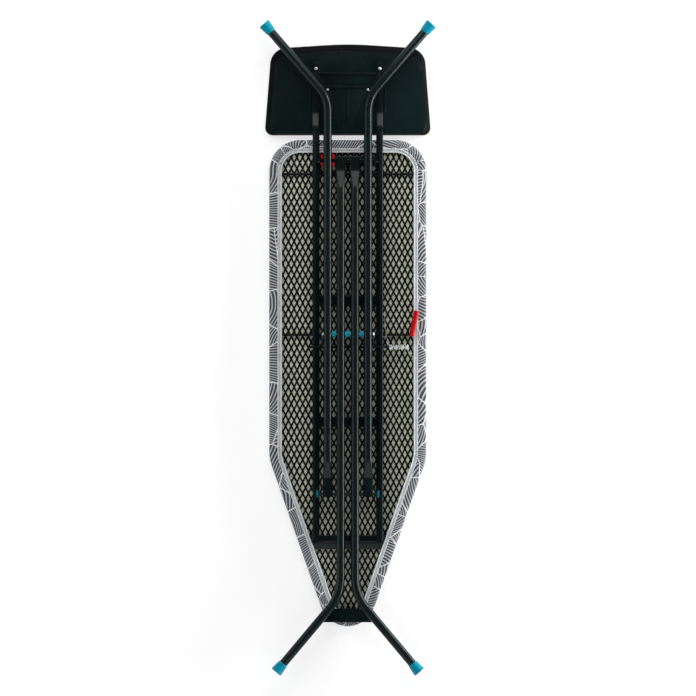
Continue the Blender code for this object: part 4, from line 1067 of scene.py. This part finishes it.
def makeLeg(kind, title, word, side):
    g, leg = legs, legs[kind]
    toward, x = leg["toward"], side * leg["x"]
    endY, edgeY, roundY = leg["flat"]
    bm = bmesh.new()
    start = Vector((x, roundY, g["z"]))
    first = verts = bmesh.ops.create_circle(bm, segments=g["sides"], radius=g["radius"],
        matrix=alongAxis(start, (0, 1, 0)))["verts"]
    for count, run in ((14, edgeY - roundY), (4, endY - edgeY)):
        for _ in range(count):
            verts = pullRing(bm, verts, (0, run / count, 0))
    out = Vector((side * math.cos(leg["splay"]), toward * math.sin(leg["splay"]), 0))
    footEnd = Vector((side * leg["footX"], toward * g["footY"], g["z"]))
    tubeEnd = footEnd - out * g["sole"]
    cornerY = toward * (g["footY"] - (leg["footX"] - leg["x"]) * math.tan(leg["splay"]))
    turn = math.pi / 2 - leg["splay"]
    bendStart = Vector((x, cornerY - toward * leg["bend"] * math.tan(turn / 2), g["z"]))
    straight = pullRing(bm, first, bendStart - start)
    inside = set(straight)
    ringEdges = {e for v in straight for e in v.link_edges if e.other_vert(v) in inside}
    bent = bmesh.ops.spin(bm, geom=straight + list(ringEdges), cent=bendStart
                          + Vector((side * leg["bend"], 0, 0)), axis=(0, 0, 1),
                          angle=-side * toward * turn, steps=22)
    last = vertsOf(bent["geom_last"])
    centre = sum((v.co for v in last), Vector()) / len(last)
    pullRing(bm, last, tubeEnd - centre)
    pressFlat(bm, x, leg["flatZ"], edgeY, roundY)
    tube = finishPiece(kind + "Tube" + title, bm, "tube", kind + "_leg", (kind + "_tube_" + word,),
                       sharpAngle=50)
    addWall(tube, g["wall"], -1.0)
    bakeShape(tube)
    reach = g["radius"] + 3 * mm
    cutWith(tube, rodAcross(x - reach, x + reach, g["centreY"], g["z"], g["boltHole"]))
    addSoftEdge(tube, 0.25 * mm, 2, 60)

    cap = newTurned([(r * mm, z * mm) for r, z in g["cap"]], alongAxis(footEnd, out), 48)
    finishPiece(kind + "Foot" + title, cap, "teal", kind + "_leg", (kind + "_foot_" + word,))


slider = {"y": -375.6 * mm, "rod": 4.0 * mm, "rodHalf": 86 * mm, "shoeX": (76.0 * mm, 88.2 * mm),
    "shoeHalf": (9 * mm, 6 * mm), "shoeCorner": 3 * mm, "bore": 4.3 * mm}


def makeCrossTubes():
    p, s = pivot, slider
    half, radius, bore = p["half"], p["radius"], p["radius"] - p["wall"]
    small = 0.3 * mm
    profile = [(bore, -half), (radius - small, -half), (radius, -half + small), (radius, half - small),
        (radius - small, half), (bore, half), (bore, -half)]
    finishPiece("pivotTube", newTurned(profile, alongAxis((0, p["y"], p["z"]), (1, 0, 0)), 40), "wire",
        "inner_leg", ("pivot_tube",))
    rod = rodAcross(-s["rodHalf"], s["rodHalf"], s["y"], p["z"], s["rod"], 32)
    addSoftEdge(finishPiece("sliderRod", rod, "tube", "outer_leg", ("slider_rod",)), 0.7 * mm)
    # two beads over each flattened tube end
    for name, kind, y, apart, z, size in (
            ("pivotWelds", "inner", p["y"], 3.6 * mm, 32.4 * mm, 1.0 * mm),
            ("sliderWelds", "outer", s["y"], 2.6 * mm, 29.5 * mm, 0.9 * mm)):
        beads = []
        for side in (-1, 1):
            for edge in (-1, 1):
                x, beadY = side * legs[kind]["x"], y + edge * apart
                beads.append(weldBead((x - 10 * mm, beadY, z), (x + 10 * mm, beadY, z), size, len(beads)))
        finishPiece(name, joinShapes(*beads), "tube", kind + "_leg", sharpAngle=80)


# centre bolt, nut and barrel spacers
centre = {
    "gap": 0.3 * mm, "collar": 2.3 * mm, "shaft": 3 * mm, "bore": 3.3 * mm, "boltShare": 0.82,
    # (radius, height) of the nut's dome; the bolt's head is the same shape, a little smaller
    "dome": [(0, 3.5), (1.6, 3.4), (3.1, 3.0), (4.3, 2.4), (5.1, 1.6), (5.5, 0.8), (5.6, 0.0)],
    "washer": 6.6 * mm, "barrel": 7.1 * mm, "belly": 0.95 * mm, "chamfer": 0.4 * mm,
}


def makeCentre():
    c, y, z = centre, legs["centreY"], legs["z"]
    bore, collar = c["bore"], c["collar"]
    headAt = legs["outer"]["x"] + legs["radius"] + c["gap"]
    tip = -2 * headAt - 3 * mm
    head = [(r * c["boltShare"] * mm, h * mm) for r, h in c["dome"]]
    shaft = [(c["shaft"], 0), (c["shaft"], tip + 0.6 * mm), (c["shaft"] - 0.6 * mm, tip), (0, tip)]
    finishPiece("centreBolt", newTurned(head + shaft, alongAxis((-headAt, y, z), (-1, 0, 0))), "zinc",
        "outer_leg", ("centre_bolt",))
    edge, top = c["washer"], collar - 0.1 * mm
    washer = [(bore, 0), (edge - 0.4 * mm, 0), (edge, 0.4 * mm), (edge, top - 0.4 * mm),
        (edge - 0.4 * mm, top), (bore, top), (bore, 0)]
    finishPiece("centreWasher", newTurned(washer, alongAxis((headAt, y, z), (1, 0, 0))), "mesh", "outer_leg")
    nut = [(r * mm, h * mm) for r, h in c["dome"]] + [(bore, 0), (bore, 1.6 * mm), (0, 1.6 * mm)]
    finishPiece("centreNut", newTurned(nut, alongAxis((headAt + collar, y, z), (1, 0, 0))), "zinc",
        "outer_leg", ("centre_nut",))
    room = legs["radius"] + c["gap"]
    middle, inner, outer = legs["inner"]["x"] - room, legs["inner"]["x"] + room, legs["outer"]["x"] - room
    for title, x0, x1 in (("Left", -outer, -inner), ("Centre", -middle, middle), ("Right", inner, outer)):
        length, chamfer = x1 - x0, c["chamfer"]
        belly = [(c["barrel"] + c["belly"] * math.sin(math.pi * k / 10),
            chamfer + (length - 2 * chamfer) * k / 10)
            for k in range(11)]
        barrel = [(bore, 0), (c["barrel"] - 0.5 * mm, 0), *belly, (c["barrel"] - 0.5 * mm, length),
            (bore, length), (bore, 0)]
        finishPiece("spacer" + title, newTurned(barrel, alongAxis((x0, y, z), (1, 0, 0)), 40), "teal",
            "outer_leg", ("spacer_" + title.lower(),))


def makeShoe(title, word, side):
    s, z = slider, pivot["z"]
    (x0, x1), (halfY, halfZ) = sorted(side * x for x in s["shoeX"]), s["shoeHalf"]
    bm = newBlock((x0, s["y"] - halfY, z - halfZ), (x1, s["y"] + halfY, z + halfZ))
    roundOff(bm, edgesAlong(bm, 0), s["shoeCorner"], 5)
    shoe = finishPiece("shoe" + title, bm, "teal", "slider", ("shoe_" + word,))
    cutWith(shoe, rodAcross(x0 - mm, x1 + mm, s["y"], z, s["bore"], 32))
    addSoftEdge(shoe, 0.6 * mm, 3)


# height lever
def bentPath(corners, radius, steps=10):
    corners = [Vector(c) for c in corners]
    points = [corners[0]]
    for last, here, after in zip(corners, corners[1:], corners[2:]):
        toLast, toNext = (last - here).normalized(), (after - here).normalized()
        half = toLast.angle(toNext) / 2
        centre = here + (toLast + toNext).normalized() * radius / math.sin(half)
        start = here + toLast * radius / math.tan(half) - centre
        stop = here + toNext * radius / math.tan(half) - centre
        axis, angle = start.rotation_difference(stop).to_axis_angle()
        points += [centre + Matrix.Rotation(angle * k / steps, 3, axis) @ start for k in range(steps + 1)]
    return points + [corners[-1]]


def makeLever():
    p = lever
    corner = Vector((p["rightX"], p["y"], p["gripZ"]))
    out = Vector((math.sin(p["tilt"]), math.cos(p["tilt"]), 0))
    path = bentPath([(p["leftX"], p["y"], p["z"]), (p["rightX"], p["y"], p["z"]), corner,
                     corner + out * (p["gripLength"] - 4 * mm)], 6 * mm)
    finishPiece("leverRod", newWire(path, p["radius"], 6), "wire", "lever", ("lever_rod",))
    # the rod's corner goes into the near end of the grip from below
    end = p["gripMoulding"] / mm
    sleeve = [(0, 0), (3.0, 0), (4.8, 0.4), (6.0, 1.4), (6.6, 3.2), (6.6, 6), (6.35, 14), (6.3, 32),
              (6.4, 46), (6.6, end - 7), (6.5, end - 3.2), (5.9, end - 1.3), (4.6, end - 0.3), (3.0, end),
              (0, end)]
    bm = newTurned([(r * mm, h * mm) for r, h in sleeve], Matrix.Identity(4), 40)
    bmesh.ops.scale(bm, vec=(p["gripFlatness"], 1, 1), verts=bm.verts)
    bmesh.ops.transform(bm, matrix=alongAxis(corner + out * p["gripStart"], out), verts=bm.verts)
    finishPiece("leverGrip", bm, "red", "lever", ("lever_grip",))
    bar = rodAcross(*p["lockX"], p["lockY"], p["lockZ"], p["radius"], 28)
    addSoftEdge(finishPiece("lockBar", bar, "wire", "lever", ("lock_bar",)), 0.6 * mm)
    for title, word, side in sides:
        bm = newPulled([(side * p["armX"], y * mm, z * mm) for y, z in p["armOutline"]],
                       (side * p["armSheet"], 0, 0))
        roundOff(bm, edgesAlong(bm, 0, mm), 1.6 * mm, 5)
        arm = finishPiece("lockArm" + title, bm, "sheet", "lever", ("lock_arm_" + word,))
        holes = [rodAcross(side * 60 * mm, side * 73 * mm, y, z, p["radius"] + 0.3 * mm)
            for y, z in ((p["y"], p["z"]), (p["lockY"], p["lockZ"]))]
        cutWith(arm, *holes)
        addSoftEdge(arm, 0.3 * mm)


makeBraces()
makeNose()
makeFrameWelds()
makeHeadRod()
makeTransportClip()
makeSpring()
makeIronRest()
makeCrossTubes()
makeCentre()
makeLever()
for title, word, side in sides:
    for makeOne in (makeRail, makeBracket, makeSaddle, makeShoe):
        makeOne(title, word, side)
    for kind in ("inner", "outer"):
        makeLeg(kind, title, word, side)
    for kind in screws:
        makeScrew(kind, title, word, side)
print("metal and plastic pieces made")

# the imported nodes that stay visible, and those that a piece stands for, get the same finishes
nodeFinish = {"black_paint": "sheet", "rest_black": "rest", "teal_plastic": "teal", "red_plastic": "red",
              "zinc": "zinc", "cover_fabric": "cotton", "binding_tape": "binding", "felt": "felt"}
for entry in frame["record"]["subparts"]:
    node = frame["nodes"][entry["node"]]
    node.data.materials.clear()
    node.data.materials.append(finishes[nodeFinish[entry["material_slot"]]])


# room: pale floor, low strip from the right, a soft source over the head end
def paleFloor():
    material, add, place = startMaterial("paleFloor", "#B6B6B6", 0.8, {
        "Specular IOR Level": 0.1, "Emission Color": (1, 1, 1, 1), "Emission Strength": 0.62})
    cloud = add("TexNoise", {"Scale": 1.5, "Detail": 2.0}, {"Vector": place})
    return plugIn(material, add("Mix", {"data_type": "RGBA", 6: "#B4B4B4", 7: "#BABABA"}, {0: cloud}))


bm = bmesh.new()
bmesh.ops.create_grid(bm, x_segments=1, y_segments=1, size=20.0)
floorMesh = bpy.data.meshes.new("floor")
bm.to_mesh(floorMesh)
bm.free()
floorMesh.materials.append(paleFloor())
floor = bpy.data.objects.new("floor", floorMesh)
bpy.context.scene.collection.objects.link(floor)

# (name, place, width, height, power)
lamps = [("rightStrip", (3.2, 0.2, 0.55), 4.0, 0.5, 190), ("headSoft", (0.3, 3.5, 2.2), 4.6, 2.9, 145),
         ("leftFill", (-4.2, -0.3, 2.4), 6.0, 4.0, 95), ("noseFill", (0.0, -4.0, 2.2), 5.0, 3.4, 85)]
for name, spot, width, height, power in lamps:
    data = bpy.data.lights.new(name, "AREA")
    data.shape = "RECTANGLE"
    data.size, data.size_y, data.energy = width, height, power
    lamp = bpy.data.objects.new(name, data)
    aimed = (-Vector(spot)).to_track_quat("-Z", "Y").to_matrix().to_4x4()
    lamp.matrix_world = Matrix.Translation(spot) @ aimed
    bpy.context.scene.collection.objects.link(lamp)

world = bpy.data.worlds.new("studio")
world.use_nodes = True
# dim overhead, so that black paint stays black; pale along the horizon and white below it
background = world.node_tree.nodes["Background"]
background.inputs["Color"].default_value = hexColour("#F4F6F7")
add = functools.partial(addNode, world.node_tree)
upward = add("SeparateXYZ", {}, {0: add("TexCoord").outputs["Generated"]}).outputs[2]
glow = add("MapRange", {"From Min": 0.0, "From Max": 0.12, "To Min": 0.70, "To Max": 0.05}, {0: upward})
below = add("Math", {"operation": "LESS_THAN", 1: 0.0}, {0: upward})
strength = add("Math", {"operation": "MAXIMUM"}, {0: glow, 1: below})
world.node_tree.links.new(strength.outputs[0], background.inputs["Strength"])
bpy.context.scene.world = world
bpy.context.scene.view_settings.view_transform = "Standard"

cameraData = bpy.data.cameras.new("fromAbove")
cameraData.type = "ORTHO"
cameraData.ortho_scale = 1.789
camera = bpy.data.objects.new("fromAbove", cameraData)
camera.location = (0.0005, -0.0004, 3.0)
bpy.context.scene.collection.objects.link(camera)
bpy.context.scene.camera = camera
print("room, light and camera set")
